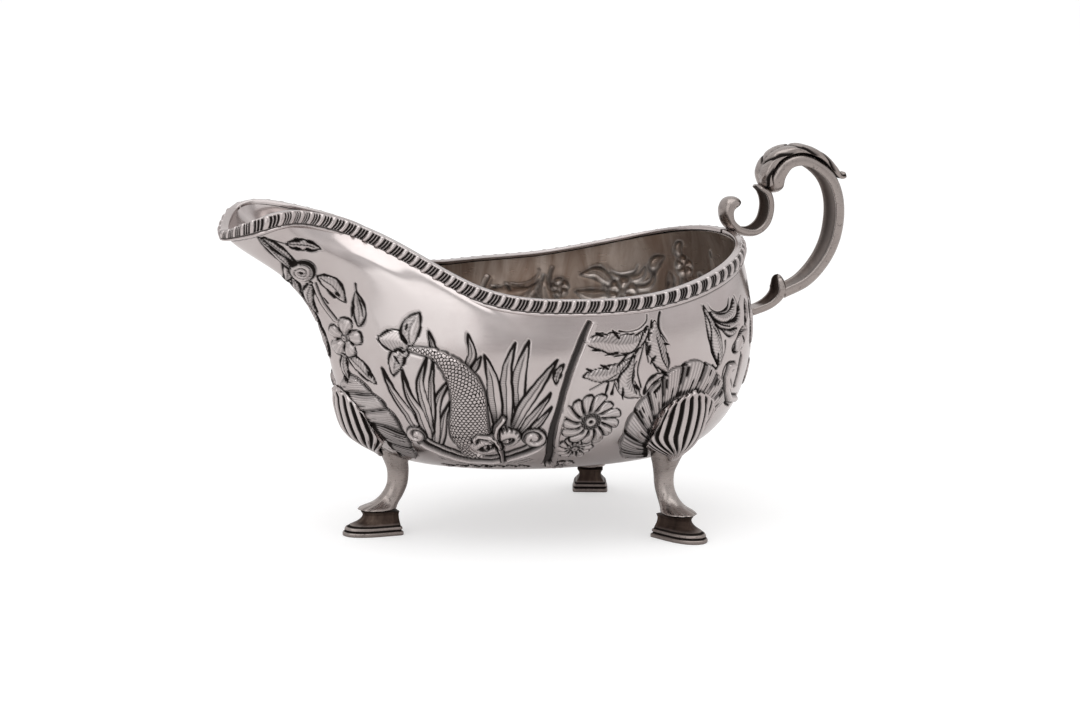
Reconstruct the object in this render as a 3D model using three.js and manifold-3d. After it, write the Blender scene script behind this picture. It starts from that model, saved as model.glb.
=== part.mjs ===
// A silver sauce boat: a raised bowl with a pouring lip, a gadrooned border soldered round its edge,
// a flying scroll handle built from four castings, and three legs with fluted shell knees and stepped feet.
// Millimetres, +Z up, the lip points to -X and the handle to +X, and the feet stand on z = 0.
import * as THREE from "three";
import { mergeVertices } from "three/addons/utils/BufferGeometryUtils.js";
import { ParametricGeometry } from "three/addons/geometries/ParametricGeometry.js";
import Module from "manifold-3d";

// Overall sizes
const LIP_X = -97.6; // the bowl's edge at the tip of the lip
const STERN_X = 58.8; // the bowl's edge under the handle
const HALF_WIDTH = 43.8; // half the bowl's width at its edge
const BOTTOM_Z = 17.5; // lowest point of the bowl above the table
const EDGE_HEIGHT = 55.5; // from the bottom to the edge at its lowest, amidships
const WALL = 1.0; // silver sheet of the bowl
const SEAM = 0.3; // clearance filled by solder between two pieces

// Border soldered over the bowl's edge
const BORDER_LEDGE = 1.1; // thickness of the flat ledge on top
const BORDER_DROP = 4.8; // how far the gadrooned face hangs below the top
const BORDER_PROUD = 1.9; // how far the gadroons stand out from the wall
const BORDER_BUTT = 0.0012; // each length stops this share of the turn short of the butt

// Handle castings
const STRAP_WIDTH = 8.6;
const STRAP_THICK = 3.4;
const RIM_SCROLL_WIDTH = 8.0;
const RIM_SCROLL_THICK = 2.4;
const LOWER_SCROLL_WIDTH = 7.0;
const LOWER_SCROLL_THICK = 2.4;
const LEAF_WIDTH = 9.4;
const LEAF_THICK = 2.0;

// Legs and feet
const FOOT_LENGTH = 17.4;
const FOOT_WIDTH = 11.0;
const FOOT_HEIGHT = 7.0;
const KNEE_SPLIT_Z = 24.0; // the shell is soldered on the leg at this height
const KNEE_TOP_Z = 46.0; // the shell's top edge, where it lies on the bowl
const FRONT_REACH = 10.5; // from the front foot's middle out to the bowl's wall behind the shell's top
const BACK_REACH = 4.0;
const BACK_KNEE_SHARE = 0.3367; // where the near knee sits, as a share of the turn round the bowl
const BACK_LEG_TURN = 68.8; // degrees from +X to the way the back legs point

// Mesh fineness
const ROUND_STEPS = 64;
const WALL_STEPS = 12;
const BORDER_STEPS = 44;
const STRAP_STEPS = 26;
const LEG_STEPS = 10;
const KNEE_STEPS = 12;
const LEG_SIDES = 18;
const CURVE_SEGMENTS = 4;

// The bowl's control rows, from its edge down to the middle of its bottom. height is the share of the
// edge's height, wide the share of the half width, and front and back the reach along X from the edge.
const ROWS = [
  { height: 1.0, front: 0, back: 0, wide: 1.0, rise: -66, ease: 1.25, channel: 6, flare: 8, nose: 8 },
  { height: 0.94, front: 2.5, back: 1.2, wide: 1.01, rise: -67, ease: 1.22, channel: 6, flare: 7.5, nose: 8 },
  { height: 0.82, front: 23, back: 3.7, wide: 1.05, rise: -69, ease: 1.12, channel: 6, flare: 1, nose: 9 },
  { height: 0.48, front: 32.1, back: 5.7, wide: 1.03, rise: -72, ease: 0.78, channel: 5, flare: 0, nose: 12 },
  { height: 0.14, front: 36.1, back: -3.3, wide: 0.82, rise: -72, ease: 0.5, channel: 3, flare: 0, nose: 22 },
  { height: 0.0, front: 58.6, back: -17.8, wide: 0.34, rise: -60, ease: 0.5, channel: 1, flare: 0, nose: 25 },
];
const WIDEST_X = 7; // where the bowl is widest
const LIP_FLARE_X = 9.6; // the lip is widest this far behind its tip
const LIP_FLARE_SPAN = 10.3;
const PLAN_BLEND = 2.5; // how tightly the spout's channel runs into the body
const STERN_ROUND = 2.25; // 2 would be an ellipse
const DEPTH_EASE = 1.15; // rings lie a little closer together near the edge
// Height of the edge above its lowest point, evenly spaced from the tip of the lip to the stern
const EDGE_RISE = [18.4, 26.5, 24.5, 17.5, -0.2, 0.0, -0.4, 3.5, 8.4, 11.2];

const { degToRad: deg, clamp, lerp } = THREE.MathUtils;

// Weights of count control points on a clamped uniform cubic B-spline at t from 0 to 1
function splineWeights(count, t) {
  const spans = count - 3;
  const knot = (i) => clamp(i - 3, 0, spans) / spans;
  const span = Math.min(Math.floor(t * spans), spans - 1) + 3;
  const weights = new Array(count).fill(0);
  const basis = [1, 0, 0, 0];
  for (let degree = 1; degree <= 3; degree++) {
    let carried = 0;
    for (let r = 0; r < degree; r++) {
      const right = knot(span + r + 1);
      const left = knot(span + 1 - degree + r);
      const share = basis[r] / (right - left);
      basis[r] = carried + (right - t) * share;
      carried = (t - left) * share;
    }
    basis[degree] = carried;
  }
  basis.forEach((value, r) => (weights[span - 3 + r] = value));
  return weights;
}

const blend = (weights, values) => weights.reduce((sum, w, i) => sum + w * values[i], 0);

// Height of the edge above the bottom at x
function edgeHeight(x) {
  const along = clamp((x - LIP_X) / (STERN_X - LIP_X), 0, 1);
  return EDGE_HEIGHT + blend(splineWeights(EDGE_RISE.length, along), EDGE_RISE);
}

// Half width of one control row at x
function rowWidth(row, x) {
  const tip = LIP_X + row.front;
  const stern = STERN_X + row.back;
  const ahead = clamp((WIDEST_X - x) / (WIDEST_X - row.rise), 0, 1);
  const behind = clamp((x - WIDEST_X) / (stern - WIDEST_X), 0, 1);
  const fore = (1 - ahead ** 2) ** row.ease;
  const aft = (1 - behind ** STERN_ROUND) ** (1 / STERN_ROUND);
  const body = HALF_WIDTH * row.wide * (x < WIDEST_X ? fore : aft);
  const flare = row.flare * Math.exp(-(((x - LIP_X - LIP_FLARE_X) / LIP_FLARE_SPAN) ** 2));
  const channel = (row.channel + flare) * clamp(((stern - x) / (stern - tip)) * 2, 0, 1);
  const nose = Math.sqrt(Math.max(0, 1 - (1 - clamp((x - tip) / row.nose, 0, 1)) ** 2));
  return (body ** PLAN_BLEND + channel ** PLAN_BLEND) ** (1 / PLAN_BLEND) * nose;
}

// A point of the bowl's outer surface: turn goes once round from the lip over the near side, depth is
// 0 at the edge and 1 in the middle of the bottom
function bowlPoint(turn, depth) {
  const half = turn <= 0.5 ? turn * 2 : 2 - turn * 2;
  const side = turn <= 0.5 ? -1 : 1;
  const sweep = (1 - Math.cos(Math.PI * half)) / 2;
  const top = edgeHeight(LIP_X + (STERN_X - LIP_X) * sweep);
  const points = ROWS.map((row) => {
    const x = LIP_X + row.front + (STERN_X + row.back - LIP_X - row.front) * sweep;
    const y = sweep > 1e-9 && sweep < 1 - 1e-9 ? rowWidth(row, x) : 0;
    return [x, side * y, BOTTOM_Z + top * row.height];
  });
  points.push([0, 0, BOTTOM_Z]);
  const weights = splineWeights(points.length, depth);
  return new THREE.Vector3(...[0, 1, 2].map((k) => weights.reduce((sum, w, i) => sum + w * points[i][k], 0)));
}

// Outward normal of the bowl, from two short chords
function bowlNormal(turn, depth) {
  const step = 1e-4;
  const d = clamp(depth, step, 0.98);
  const along = bowlPoint((turn + step) % 1, d).sub(bowlPoint((turn - step + 1) % 1, d));
  const down = bowlPoint(turn, d + step).sub(bowlPoint(turn, d - step));
  return along.cross(down).normalize().negate();
}

// The point of the bowl's wall at a height, found by halving the span that it lies in
function wallAt(turn, z) {
  let [above, below] = [0, 1];
  for (let i = 0; i < 40; i++) {
    const middle = (above + below) / 2;
    if (bowlPoint(turn, middle).z > z) above = middle;
    else below = middle;
  }
  return bowlPoint(turn, above);
}

// Unit vector along the bowl's edge, and the level one that points out from it
function edgeAhead(turn) {
  const step = 1e-3;
  return bowlPoint((turn + step) % 1, 0).sub(bowlPoint((turn - step + 1) % 1, 0)).normalize();
}

function edgeOut(turn) {
  const ahead = edgeAhead(turn);
  return new THREE.Vector3(ahead.y, -ahead.x, 0).normalize();
}

// The bowl's wall as a closed shell: its outer face moved out by outer, its inner face by inner, and its
// edge raised by lift. The rings run from the middle of the bottom up the outside, over the edge and
// down the inside.
function bowlShell(outer, inner, lift) {
  const rings = WALL_STEPS * 2 + 1;
  const place = (u, v, target) => {
    const ring = Math.round(v * rings);
    const outside = ring <= WALL_STEPS;
    const run = outside ? 1 - ring / WALL_STEPS : (ring - WALL_STEPS - 1) / WALL_STEPS;
    const depth = run ** DEPTH_EASE;
    const shift = outside ? outer : inner;
    const wallNormal = () => (run === 0 ? edgeOut(u % 1) : bowlNormal(u % 1, depth));
    const normal = run === 1 ? new THREE.Vector3(0, 0, -1) : wallNormal();
    target.copy(bowlPoint(u % 1, depth)).addScaledVector(normal, shift);
    if (run === 0) target.z += lift;
  };
  return new ParametricGeometry(place, ROUND_STEPS, rings);
}

// The bowl filled up to its edge, moved out by outer: what the legs and the handle are cut back from
function bowlFilled(outer) {
  const rings = WALL_STEPS + 1;
  const place = (u, v, target) => {
    const ring = Math.round(v * rings);
    const run = 1 - ring / WALL_STEPS;
    const depth = Math.max(run, 0) ** DEPTH_EASE;
    const wallNormal = () => (run === 0 ? edgeOut(u % 1) : bowlNormal(u % 1, depth));
    const normal = run === 1 ? new THREE.Vector3(0, 0, -1) : wallNormal();
    if (run < 0) target.set(0, 0, BOTTOM_Z + EDGE_HEIGHT);
    else target.copy(bowlPoint(u % 1, depth)).addScaledVector(normal, outer);
  };
  return new ParametricGeometry(place, ROUND_STEPS, rings);
}

// Solids from geometries, and back
const wasm = await Module();
wasm.setup();

function welded(geometry) {
  const bare = geometry.index ? geometry.toNonIndexed() : geometry.clone();
  bare.deleteAttribute("normal");
  bare.deleteAttribute("uv");
  return mergeVertices(bare, 1e-4);
}

function solid(geometry) {
  const merged = welded(geometry);
  const index = merged.index.array;
  const kept = [];
  for (let i = 0; i < index.length; i += 3) {
    const [a, b, c] = index.slice(i, i + 3);
    if (a !== b && b !== c && c !== a) kept.push(a, b, c);
  }
  const vertProperties = merged.attributes.position.array;
  const closed = (order) => {
    const triVerts = new Uint32Array(order);
    return new wasm.Manifold(new wasm.Mesh({ numProp: 3, vertProperties, triVerts }));
  };
  const made = closed(kept);
  return made.volume() > 0 ? made : closed(kept.reverse());
}

function geometryOf(made) {
  const mesh = made.getMesh();
  const positions = new Float32Array(mesh.numVert * 3);
  for (let i = 0; i < mesh.numVert; i++)
    positions.set(mesh.vertProperties.subarray(i * mesh.numProp, i * mesh.numProp + 3), i * 3);
  const geometry = new THREE.BufferGeometry();
  geometry.setAttribute("position", new THREE.BufferAttribute(positions, 3));
  geometry.setIndex(new THREE.BufferAttribute(mesh.triVerts, 1));
  geometry.computeVertexNormals();
  return geometry;
}

// The largest of the separate bodies that a cut leaves
const largest = (made) => made.decompose().sort((a, b) => b.volume() - a.volume())[0];

// A flat section extruded in steps and bent: place(t, x, y) says where each of its points goes
function bent(section, steps, place) {
  const options = { depth: 1, steps, bevelEnabled: false, curveSegments: CURVE_SEGMENTS };
  const geometry = new THREE.ExtrudeGeometry(section, options);
  const position = geometry.attributes.position;
  for (let i = 0; i < position.count; i++) {
    const point = place(clamp(position.getZ(i), 0, 1), position.getX(i), position.getY(i));
    position.setXYZ(i, point.x, point.y, point.z);
  }
  return solid(geometry);
}

// Values between the rows of a list, each [at, ...values], eased from one row to the next
function eased(rows, at) {
  const last = rows.length - 2;
  let i = 0;
  while (i < last && at > rows[i + 1][0]) i++;
  const s = clamp((at - rows[i][0]) / (rows[i + 1][0] - rows[i][0]), 0, 1);
  return rows[i].slice(1).map((value, k) => lerp(value, rows[i + 1][k + 1], s));
}

// Border: an upside-down L that caps the bowl's edge, in two lengths that butt at the lip and the stern
function borderSection(grow) {
  const top = SEAM + BORDER_LEDGE + grow;
  const inside = -WALL - SEAM - grow;
  const face = BORDER_PROUD + grow;
  const low = top - BORDER_DROP - grow * 2;
  const shape = new THREE.Shape();
  shape.moveTo(inside, top);
  shape.lineTo(face * 0.55, top);
  shape.quadraticCurveTo(face * 1.1, top - 1.2, face, top - 2.6);
  shape.lineTo(face * 0.7, low);
  shape.lineTo(SEAM - grow, low);
  shape.lineTo(SEAM - grow, SEAM - grow);
  shape.lineTo(inside, SEAM - grow);
  shape.closePath();
  return shape;
}

function border(from, to, grow) {
  return bent(borderSection(grow), BORDER_STEPS, (t, x, y) => {
    const turn = lerp(from, to, t);
    const out = edgeOut(turn);
    const up = out.clone().cross(edgeAhead(turn));
    return bowlPoint(turn, 0).addScaledVector(out, x).addScaledVector(up, y * Math.sign(up.z));
  });
}

// Strap castings of the handle: a convex back and a hollowed inner face, bent along a path in the
// plane y = 0. away is 1 where the back lies left of the way the path runs, and -1 where it lies right.
function strapSection() {
  const shape = new THREE.Shape();
  shape.moveTo(-0.5, -0.5);
  shape.quadraticCurveTo(0, -0.1, 0.5, -0.5);
  shape.lineTo(0.5, 0.1);
  shape.quadraticCurveTo(0, 0.9, -0.5, 0.1);
  shape.closePath();
  return shape;
}

function strap(path, away, width, thick, sizes, grow) {
  const curve = new THREE.CatmullRomCurve3(path.map(([x, z]) => new THREE.Vector3(x, 0, z)));
  return bent(strapSection(), STRAP_STEPS, (t, x, y) => {
    const point = curve.getPointAt(t);
    const ahead = curve.getTangentAt(t);
    const back = new THREE.Vector3(-ahead.z, 0, ahead.x).multiplyScalar(away);
    const [wide, deep] = eased(sizes, t);
    point.addScaledVector(back, y * (thick * deep + grow * 2));
    point.y += x * (width * wide + grow * 2);
    return point;
  });
}

// Paths of the castings, as [x from the stern edge, z above the stern edge]
const RIM_SCROLL_PATH = [
  [4.4, 7], [3.2, 9.3], [1, 9.4], [0.1, 7], [1.4, 3.3], [4.8, 0.9], [9.4, 0.3],
  [13.5, 2.9], [15, 7.6], [13.8, 12], [10.2, 14.4],
];
const MAIN_SCROLL_PATH = [
  [16, 13.4], [15.5, 17.6], [18.4, 21.3], [23.5, 22.4], [28.8, 20.4], [33.4, 16.4],
  [36, 11.2], [36.8, 4.6], [35.6, -3], [32.2, -9.8], [26.4, -15.7], [19.6, -18.8],
];
const LEAF_PATH = [
  [12.6, 14.6], [12.1, 18.8], [15.4, 23.4], [22.8, 25.4], [30, 23.2], [34.8, 19.4], [40.5, 15.4],
];
const LOWER_SCROLL_PATH = [[4.7, -25], [10.2, -24], [15.2, -22], [18.4, -18.8], [18.4, -13.8]];

const sternEdge = () => edgeHeight(STERN_X) + BOTTOM_Z;
const fromStern = (path) => path.map(([x, z]) => [STERN_X + x, sternEdge() + z]);

function rimScroll(grow) {
  const sizes = [[0, 0.6, 0.7], [0.15, 0.85, 1.1], [0.5, 1, 1], [0.9, 1, 1], [1, 0.9, 0.7]];
  return strap(fromStern(RIM_SCROLL_PATH), -1, RIM_SCROLL_WIDTH, RIM_SCROLL_THICK, sizes, grow);
}

function mainScroll(grow) {
  const sizes = [[0, 0.75, 1.1], [0.12, 1, 1.1], [0.6, 1, 1], [1, 0.72, 0.9]];
  return strap(fromStern(MAIN_SCROLL_PATH), 1, STRAP_WIDTH, STRAP_THICK, sizes, grow);
}

function leafCap() {
  const sizes = [[0, 0.8, 1], [0.25, 1, 1], [0.75, 0.8, 0.8], [1, 0.25, 0.35]];
  return strap(fromStern(LEAF_PATH), 1, LEAF_WIDTH, LEAF_THICK, sizes, 0);
}

function lowerScroll(grow) {
  const sizes = [[0, 0.75, 0.9], [0.5, 1, 1], [0.75, 1, 1.1], [1, 0.3, 0.5]];
  return strap(fromStern(LOWER_SCROLL_PATH), -1, LOWER_SCROLL_WIDTH, LOWER_SCROLL_THICK, sizes, grow);
}

// Legs and knees, in a frame whose origin is under the foot and whose x points the way the toe points.
// Each row is [share of the height, where the outer side is, where the inner side is, half width].
const LEG_ROWS = [
  [0, 4.1, -7.7, 5.0],
  [0.05, 3.0, -7.8, 4.6],
  [0.13, -0.7, -8.5, 3.6],
  [0.26, -3.2, -10.0, 2.9],
  [0.44, -4.9, -11.2, 2.7],
  [0.68, -5.0, -11.5, 2.9],
  [0.86, -3.6, -11.4, 4.2],
  [1, -1.6, -11.2, 5.4],
];
const FRONT_KNEE_ROWS = [
  [0, -1.4, -11, 5.5],
  [0.15, 3.8, -8, 7.4],
  [0.34, 8.7, -4, 8.6],
  [0.65, 11.2, 0, 8.8],
  [0.86, 11.4, 3, 7.6],
  [1, 10.8, 5, 4.0],
];
const BACK_KNEE_ROWS = [
  [0, -1.4, -16, 5.5],
  [0.15, 1.5, -14, 7.4],
  [0.34, 3.4, -12, 8.6],
  [0.65, 4.6, -8, 8.8],
  [0.86, 4.6, -6, 7.6],
  [1, 4.0, -4, 4.0],
];

// A circle lofted up the rows
function lofted(rows, low, high, steps) {
  const circle = new THREE.Shape();
  for (let i = 0; i < LEG_SIDES; i++) {
    const angle = (i / LEG_SIDES) * Math.PI * 2;
    const point = [Math.cos(angle), Math.sin(angle)];
    if (i) circle.lineTo(...point);
    else circle.moveTo(...point);
  }
  circle.closePath();
  return bent(circle, steps, (t, x, y) => {
    const [outer, inner, half] = eased(rows, t);
    const z = lerp(low, high, t);
    return new THREE.Vector3((outer + inner) / 2 + (x * (outer - inner)) / 2, y * half, z);
  });
}

// Foot: a flat heel and a round toe, stacked as base, ovolo, cove and seat. Each row is
// [height, heel x, length, width] as shares of the foot's own sizes.
const FOOT_ROWS = [
  [0, -0.49, 1, 1],
  [0.17, -0.49, 1, 1],
  [0.22, -0.48, 0.94, 0.93],
  [0.42, -0.47, 0.9, 0.9],
  [0.56, -0.46, 0.8, 0.82],
  [0.66, -0.44, 0.66, 0.7],
  [0.8, -0.44, 0.58, 0.6],
  [0.92, -0.44, 0.59, 0.64],
  [1, -0.44, 0.62, 0.7],
];

function foot() {
  const outline = new THREE.Shape();
  outline.moveTo(0, -0.5);
  outline.lineTo(0.45, -0.5);
  outline.bezierCurveTo(0.82, -0.5, 1, -0.28, 1, 0);
  outline.bezierCurveTo(1, 0.28, 0.82, 0.5, 0.45, 0.5);
  outline.lineTo(0, 0.5);
  outline.closePath();
  const steps = FOOT_ROWS.length - 1;
  return bent(outline, steps, (t, x, y) => {
    const [height, heel, long, wide] = FOOT_ROWS[Math.round(t * steps)];
    return new THREE.Vector3(FOOT_LENGTH * (heel + x * long), FOOT_WIDTH * wide * y, FOOT_HEIGHT * height);
  });
}

// Finishes
const polished = (color) => new THREE.MeshStandardMaterial({ color, roughness: 0.25, metalness: 1 });
const SILVER = 0xc9c2bf;
const WORN_SILVER = 0xb7b0ac;

function piece(name, made, color) {
  const mesh = new THREE.Mesh(geometryOf(made), polished(color));
  mesh.name = name;
  return mesh;
}

// Assembly
const boat = new THREE.Group();

const bowl = solid(bowlShell(0, -WALL, 0));
const bowlAndSeam = solid(bowlShell(SEAM, -WALL - SEAM, SEAM));
const bowlRoom = solid(bowlFilled(SEAM));
boat.add(piece("bowl", bowl, SILVER));

const nearBorder = largest(border(BORDER_BUTT, 0.5 - BORDER_BUTT, 0).subtract(bowlAndSeam));
const farBorder = largest(border(0.5 + BORDER_BUTT, 1 - BORDER_BUTT, 0).subtract(bowlAndSeam));
boat.add(piece("rim_border_near", nearBorder, SILVER));
boat.add(piece("rim_border_far", farBorder, SILVER));

// The handle's castings are each cut back from what carries them
const borderRoom = border(0.3, 0.5, SEAM).add(border(0.5, 0.7, SEAM));
const rimScrollMade = largest(rimScroll(0).subtract(borderRoom));
const mainScrollMade = largest(mainScroll(0).subtract(rimScroll(SEAM)).subtract(lowerScroll(SEAM)));
const leafMade = largest(leafCap().subtract(mainScroll(SEAM)).subtract(rimScroll(SEAM)));
const lowerScrollMade = largest(lowerScroll(0).subtract(bowlRoom));
boat.add(piece("handle_rim_scroll", rimScrollMade, WORN_SILVER));
boat.add(piece("handle_main_scroll", mainScrollMade, WORN_SILVER));
boat.add(piece("handle_leaf_cap", leafMade, WORN_SILVER));
boat.add(piece("handle_lower_scroll", lowerScrollMade, WORN_SILVER));

// Each foot stands its reach inwards from the wall that the shell's top lies on
const LEGS = [
  { name: "front", share: 0, turn: 180, reach: FRONT_REACH, knee: FRONT_KNEE_ROWS },
  { name: "near", share: BACK_KNEE_SHARE, turn: -BACK_LEG_TURN, reach: BACK_REACH, knee: BACK_KNEE_ROWS },
  { name: "far", share: 1 - BACK_KNEE_SHARE, turn: BACK_LEG_TURN, reach: BACK_REACH, knee: BACK_KNEE_ROWS },
];
for (const { name, share, turn, reach, knee } of LEGS) {
  const wall = wallAt(share, KNEE_TOP_Z);
  const x = wall.x - reach * Math.cos(deg(turn));
  const y = wall.y - reach * Math.sin(deg(turn));
  const matrix = new THREE.Matrix4().makeRotationZ(deg(turn)).setPosition(x, y, 0);
  const placed = (made) => made.transform(matrix.elements);
  const kneeMade = lofted(knee, KNEE_SPLIT_Z, KNEE_TOP_Z, KNEE_STEPS);
  const legMade = lofted(LEG_ROWS, FOOT_HEIGHT + SEAM, KNEE_SPLIT_Z - SEAM, LEG_STEPS);
  boat.add(piece(`knee_shell_${name}`, largest(placed(kneeMade).subtract(bowlRoom)), SILVER));
  boat.add(piece(`leg_${name}`, largest(placed(legMade).subtract(bowlRoom)), WORN_SILVER));
  boat.add(piece(`foot_${name}`, placed(foot()), WORN_SILVER));
}

export default boat;
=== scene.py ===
# Looks of the silver sauce boat: chased bowl, gadrooned border, cast handle, shell knees and stepped feet.
# Lengths are millimetres while a piece is shaped, and metres in the finished meshes.
import math

import bmesh
import bpy
import numpy as np
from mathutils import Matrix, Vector, kdtree
from mathutils.bvhtree import BVHTree


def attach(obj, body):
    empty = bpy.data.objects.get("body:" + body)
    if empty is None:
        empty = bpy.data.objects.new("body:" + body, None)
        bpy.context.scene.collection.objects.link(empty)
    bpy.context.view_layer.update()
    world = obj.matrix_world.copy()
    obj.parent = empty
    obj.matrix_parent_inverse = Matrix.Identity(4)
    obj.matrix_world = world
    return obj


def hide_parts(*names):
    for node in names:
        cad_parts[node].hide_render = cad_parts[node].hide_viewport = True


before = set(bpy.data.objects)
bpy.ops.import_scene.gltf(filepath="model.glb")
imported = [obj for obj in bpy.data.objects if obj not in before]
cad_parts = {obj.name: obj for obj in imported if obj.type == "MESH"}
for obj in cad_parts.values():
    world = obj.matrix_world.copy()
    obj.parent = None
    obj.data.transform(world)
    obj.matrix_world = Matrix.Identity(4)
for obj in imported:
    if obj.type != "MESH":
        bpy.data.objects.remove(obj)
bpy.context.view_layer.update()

MM = 0.001
NEAR, FAR = -1, 1

# The bowl's own sizes, as it is built
LIP_X, STERN_X = -97.6, 58.8
HALF_WIDTH = 43.8
BOTTOM_Z = 17.5
EDGE_HEIGHT = 55.5
WALL = 1.0
WIDEST_X = 7.0
LIP_FLARE_X, LIP_FLARE_SPAN = 9.6, 10.3
PLAN_BLEND = 2.5
STERN_ROUND = 2.25
EDGE_RISE = [18.4, 26.5, 24.5, 17.5, -0.2, 0.0, -0.4, 3.5, 8.4, 11.2]
# height, front, back, wide, rise, ease, channel, flare, nose of each control row from the edge down
ROWS = [
    (1.0, 0.0, 0.0, 1.0, -66, 1.25, 6, 8, 8),
    (0.94, 2.5, 1.2, 1.01, -67, 1.22, 6, 7.5, 8),
    (0.82, 23.0, 3.7, 1.05, -69, 1.12, 6, 1, 9),
    (0.48, 32.1, 5.7, 1.03, -72, 0.78, 5, 0, 12),
    (0.14, 36.1, -3.3, 0.82, -72, 0.5, 3, 0, 22),
    (0.0, 58.6, -17.8, 0.34, -60, 0.5, 1, 0, 25),
]

# Fineness of the bowl's mesh
AROUND_STEP = 0.26  # millimetres between columns half way up the wall
DOWN_ROWS = 280
INSIDE_SHARE = 2  # the inside has half of the columns and rows
INSIDE_RELIEF, INSIDE_DARK = 0.9, 0.8  # how much of the outside's relief and black shows inside
BARE_UNTIL_X, BROWN_FROM_X = -86, -52  # the inside is bare at the lip and brown behind the spout
SEAM_TURNS = [0.0, 0.1, 0.26, 0.385, 0.5, 0.615, 0.74, 0.9, 1.0]


# Curves and blends

def smooth(x, low, high):
    t = np.clip((np.asarray(x, float) - low) / (high - low), 0, 1)
    return t * t * (3 - 2 * t)


def bump(x, width):
    return np.exp(-((np.asarray(x, float) / width) ** 2))


def round_top(t):
    """The height of a half round, where t is 0 in its middle and 1 at its edge."""
    return np.sqrt(np.clip(1 - np.asarray(t, float) ** 2, 0, 1))


def within(edge, low=-0.1, high=0.2):
    """1 inside an outline and 0 outside it, from the distance outside its edge."""
    return 1 - smooth(edge, low, high)


def pointed_edge(past, c, half):
    """Distance outside an outline that ends in points: half wide at c to the side, past beyond its ends."""
    return np.where(past > 0, np.hypot(past, c), np.abs(c) - half)


def rounded_edge(past, c, half):
    """Distance outside an outline that ends in half rounds."""
    return np.where(past > 0, np.hypot(past, c), np.abs(c)) - half


def unit(v):
    return v / np.maximum(np.linalg.norm(v, axis=-1, keepdims=True), 1e-12)


def spline(points, per_span=12):
    """A smooth line through the points."""
    p = np.asarray(points, float)
    if len(p) < 3:
        return p[0] + (p[1] - p[0]) * np.linspace(0, 1, per_span + 1)[:, None]
    p = np.vstack([2 * p[0] - p[1], p, 2 * p[-1] - p[-2]])
    t = np.linspace(0, 1, per_span, endpoint=False)[:, None]
    spans = []
    for a, b, c, d in zip(p, p[1:], p[2:], p[3:]):
        cubic = -a + 3 * b - 3 * c + d
        square = 2 * a - 5 * b + 4 * c - d
        spans.append(0.5 * (2 * b + (c - a) * t + square * t**2 + cubic * t**3))
    return np.vstack(spans + [p[-2:-1]])


def run_length(points):
    return np.concatenate([[0], np.cumsum(np.linalg.norm(np.diff(points, axis=0), axis=1))])


def evenly(points, count):
    """count + 1 points at equal steps along a line."""
    run = run_length(points)
    at = np.linspace(0, run[-1], count + 1)
    return np.stack([np.interp(at, run, points[:, k]) for k in range(points.shape[1])], 1)


def in_steps(path, step):
    """A line again at equal steps of about the given length, with 7 to 41 points."""
    return evenly(path, max(6, min(40, int(run_length(path)[-1] / step))))


def profile(table, at):
    """Values between the rows (at, value, ...) of a table."""
    table = np.array(table, float)
    return [np.interp(at, table[:, 0], table[:, k]) for k in range(1, table.shape[1])]


# The bowl's surface

def spline_weights(count, t):
    t = np.clip(np.asarray(t, float), 0, 1)
    spans = count - 3
    knots = np.clip(np.arange(count + 4) - 3, 0, spans) / spans
    span = np.minimum((t * spans).astype(int), spans - 1) + 3
    basis = [np.ones_like(t)]
    for degree in range(1, 4):
        raised, carried = [], 0
        for r in range(degree):
            right, left = knots[span + r + 1], knots[span + 1 - degree + r]
            share = basis[r] / (right - left)
            raised.append(carried + (right - t) * share)
            carried = (t - left) * share
        basis = raised + [carried]
    weights = np.zeros(t.shape + (count,))
    for r in range(4):
        np.put_along_axis(weights, (span - 3 + r)[..., None], basis[r][..., None], -1)
    return weights


def edge_height(x):
    """How high the edge stands over the bottom, at x of the edge."""
    along = (x - LIP_X) / (STERN_X - LIP_X)
    return EDGE_HEIGHT + spline_weights(len(EDGE_RISE), along) @ np.array(EDGE_RISE)


def row_width(row, x):
    """Half the width of a control row at x: a round body that runs into a narrow spout with a flared lip."""
    _, front, back, wide, rise, ease, channel, flare, nose = row
    tip, stern = LIP_X + front, STERN_X + back
    ahead = np.clip((WIDEST_X - x) / (WIDEST_X - rise), 0, 1)
    behind = np.clip((x - WIDEST_X) / (stern - WIDEST_X), 0, 1)
    fore = (1 - ahead**2) ** ease
    aft = (1 - behind**STERN_ROUND) ** (1 / STERN_ROUND)
    body = HALF_WIDTH * wide * np.where(x < WIDEST_X, fore, aft)
    spread = flare * np.exp(-(((x - LIP_X - LIP_FLARE_X) / LIP_FLARE_SPAN) ** 2))
    spout = (channel + spread) * np.clip((stern - x) / (stern - tip) * 2, 0, 1)
    blend = (body**PLAN_BLEND + spout**PLAN_BLEND) ** (1 / PLAN_BLEND)
    return blend * round_top(1 - np.clip((x - tip) / nose, 0, 1))


def bowl_point(turn, depth):
    """Outer surface: turn goes round from the lip over the near side, depth from the edge to the bottom."""
    turn, depth = np.broadcast_arrays(np.asarray(turn, float) % 1.0, np.asarray(depth, float))
    half = np.where(turn <= 0.5, turn * 2, 2 - turn * 2)
    side = np.where(turn <= 0.5, NEAR, FAR)
    sweep = (1 - np.cos(np.pi * half)) / 2
    top = edge_height(LIP_X + (STERN_X - LIP_X) * sweep)
    inner = (sweep > 1e-9) & (sweep < 1 - 1e-9)
    points = []
    for row in ROWS:
        x = LIP_X + row[1] + (STERN_X + row[2] - LIP_X - row[1]) * sweep
        y = side * np.where(inner, row_width(row, x), 0)
        points.append(np.stack([x, y, BOTTOM_Z + top * row[0]], -1))
    points.append(np.broadcast_to([0.0, 0.0, BOTTOM_Z], points[0].shape))
    weights = spline_weights(len(points), depth)
    return sum(weights[..., i, None] * p for i, p in enumerate(points))


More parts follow.
